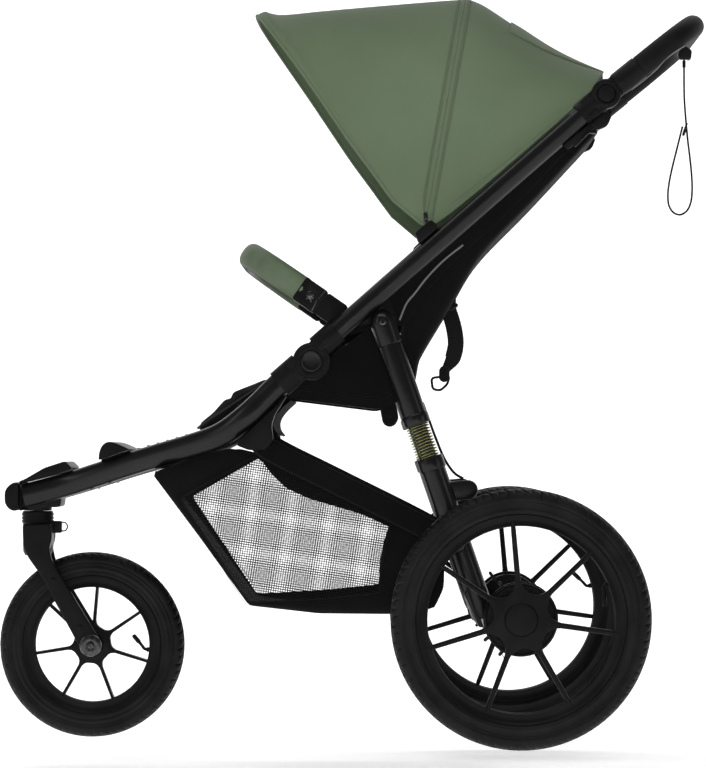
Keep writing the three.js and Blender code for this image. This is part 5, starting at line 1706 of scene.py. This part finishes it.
def recline_strap():
    """The webbing behind the back that sets its angle: buckle, hanging strap and ring."""
    y = -150
    route = ((147, 694), (155, 668), (163, 640), (166, 615), (162, 594), (152, 578), (148, 571))
    line = even(smooth([mm(*p, y) for p in route], 8), 50)
    folded = even(smooth([mm(x - 2, z, y + 5) for x, z in route[:-2]], 8), 30)
    widths = [0.9 + 0.1 * math.sin(math.pi * k / 49) if k < 40 else 1 - 0.55 * (k - 39) / 10
              for k in range(50)]
    turn = (0.9, 0.35, 0.2)
    corners = [(139, 696), (158, 704), (166, 690), (166, 668), (146, 664), (138, 672)]
    buckle = plate("buckle", rounded(corners, 6), y - 12, y + 12, "plastic", 3)
    bar = plate("bar", strip([(142, 690), (164, 694)], 3.4), y - 15, y + 15, "plastic", 1.2)
    lower_bar = plate("bar", strip([(144, 672), (166, 674)], 3), y - 15, y + 15, "plastic", 1.2)
    corners = rounded([(128, 562), (130, 545), (142, 543), (153, 553), (156, 566), (140, 564)], 5, 6)
    ring = [mm(*p, y - 3 + (p.x - 140) * 0.2) for p in corners + corners[:1]]
    knot = plate("knot", strip([(148, 573), (148, 564)], 8), y - 11, y + 11, "webbing", 2)
    pieces = [tube("loop", line, oval(13, 0.9, 16, 5), "webbing", widths, turn),
              strap("fold", folded, 23, side=turn), buckle, bar, lower_bar,
              tube("ring", ring, oval(1.9, 1.9, 12), "screw", caps=False), knot]
    place(joined("recline_strap", pieces), "seat_back", "black_fabric", angle=50)


def front_web():
    """The cloth across the frame under the seat's front edge."""
    line = even(smooth(((-86, 527), (-101, 513), (-111, 498), (-111, 485), (-104, 474)), 8), 24)
    turns = [math.pi * (k / 20 - 1) for k in range(41)]
    rings = [[mm(p.x + 3 * math.cos(a), p.y, 176 * a / math.pi) for a in turns] for p in line]
    web = skin("front_web", rings, "cloth", wrap=False)
    thickened(web, 1.4, 0)
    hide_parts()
    shaded(web)
    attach(web, "front_frame")


def rear_curtain():
    """The cloth behind the head: it hangs from the canopy's rear bow down to the top of the back."""
    high = bow_line(1.0)
    count = len(high)
    rings = []
    for j in range(11):
        share = j / 10
        ring = []
        for k, top in enumerate(high):
            across = -1 + 2 * k / (count - 1)
            low = mm(378, 934, 183 * across)
            p = top.lerp(low, share)
            p.x += 0.006 * math.sin(math.pi * share) * (1 + 0.25 * math.sin(across * 11))
            ring.append(p)
        rings.append(ring)
    curtain = skin("rear_curtain", rings, "cloth", wrap=False)
    thickened(curtain, 1.2, 0)
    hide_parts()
    shaded(curtain)
    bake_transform(curtain)


WING_TOP = [(-12, 652), (58, 712), (120, 762), (200, 832), (300, 920), (362, 972)]
WING_LOW = [(-16, 622), (40, 638), (88, 644), (118, 690), (172, 748), (232, 802), (298, 870), (366, 942)]
WING_PIPING = [(176, 765), (146, 741), (120, 714), (103, 692), (90, 676), (79, 650)]


def side_wings():
    """The cloth that closes the gap between each side tube, the seat's side and the back."""
    for side, s in SIDES.items():
        top = even([Vector(p) for p in WING_TOP], 40)
        low = even(smooth(WING_LOW, 6), 40)
        rings = []
        for k, (a, b) in enumerate(zip(top, low)):
            rings.append([mm(*a.lerp(b, j / 8), s * (189.6 - 1.6 * math.sin(math.pi * j / 8)))
                          for j in range(9)])
        wing = skin("side_wing_" + side, rings, "cloth", wrap=False)
        thickened(wing, 1.4, 0)
        piped = smooth([mm(x, z, s * 190.4) for x, z in WING_PIPING], 8)
        piping = tube("wing_piping_" + side, piped, oval(1.5, 1.5, 10), "piping")
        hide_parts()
        for piece in (wing, piping):
            shaded(piece)
            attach(piece, "upper_frame")


seat_base()
seat_back()
side_wings()
rear_curtain()
front_web()
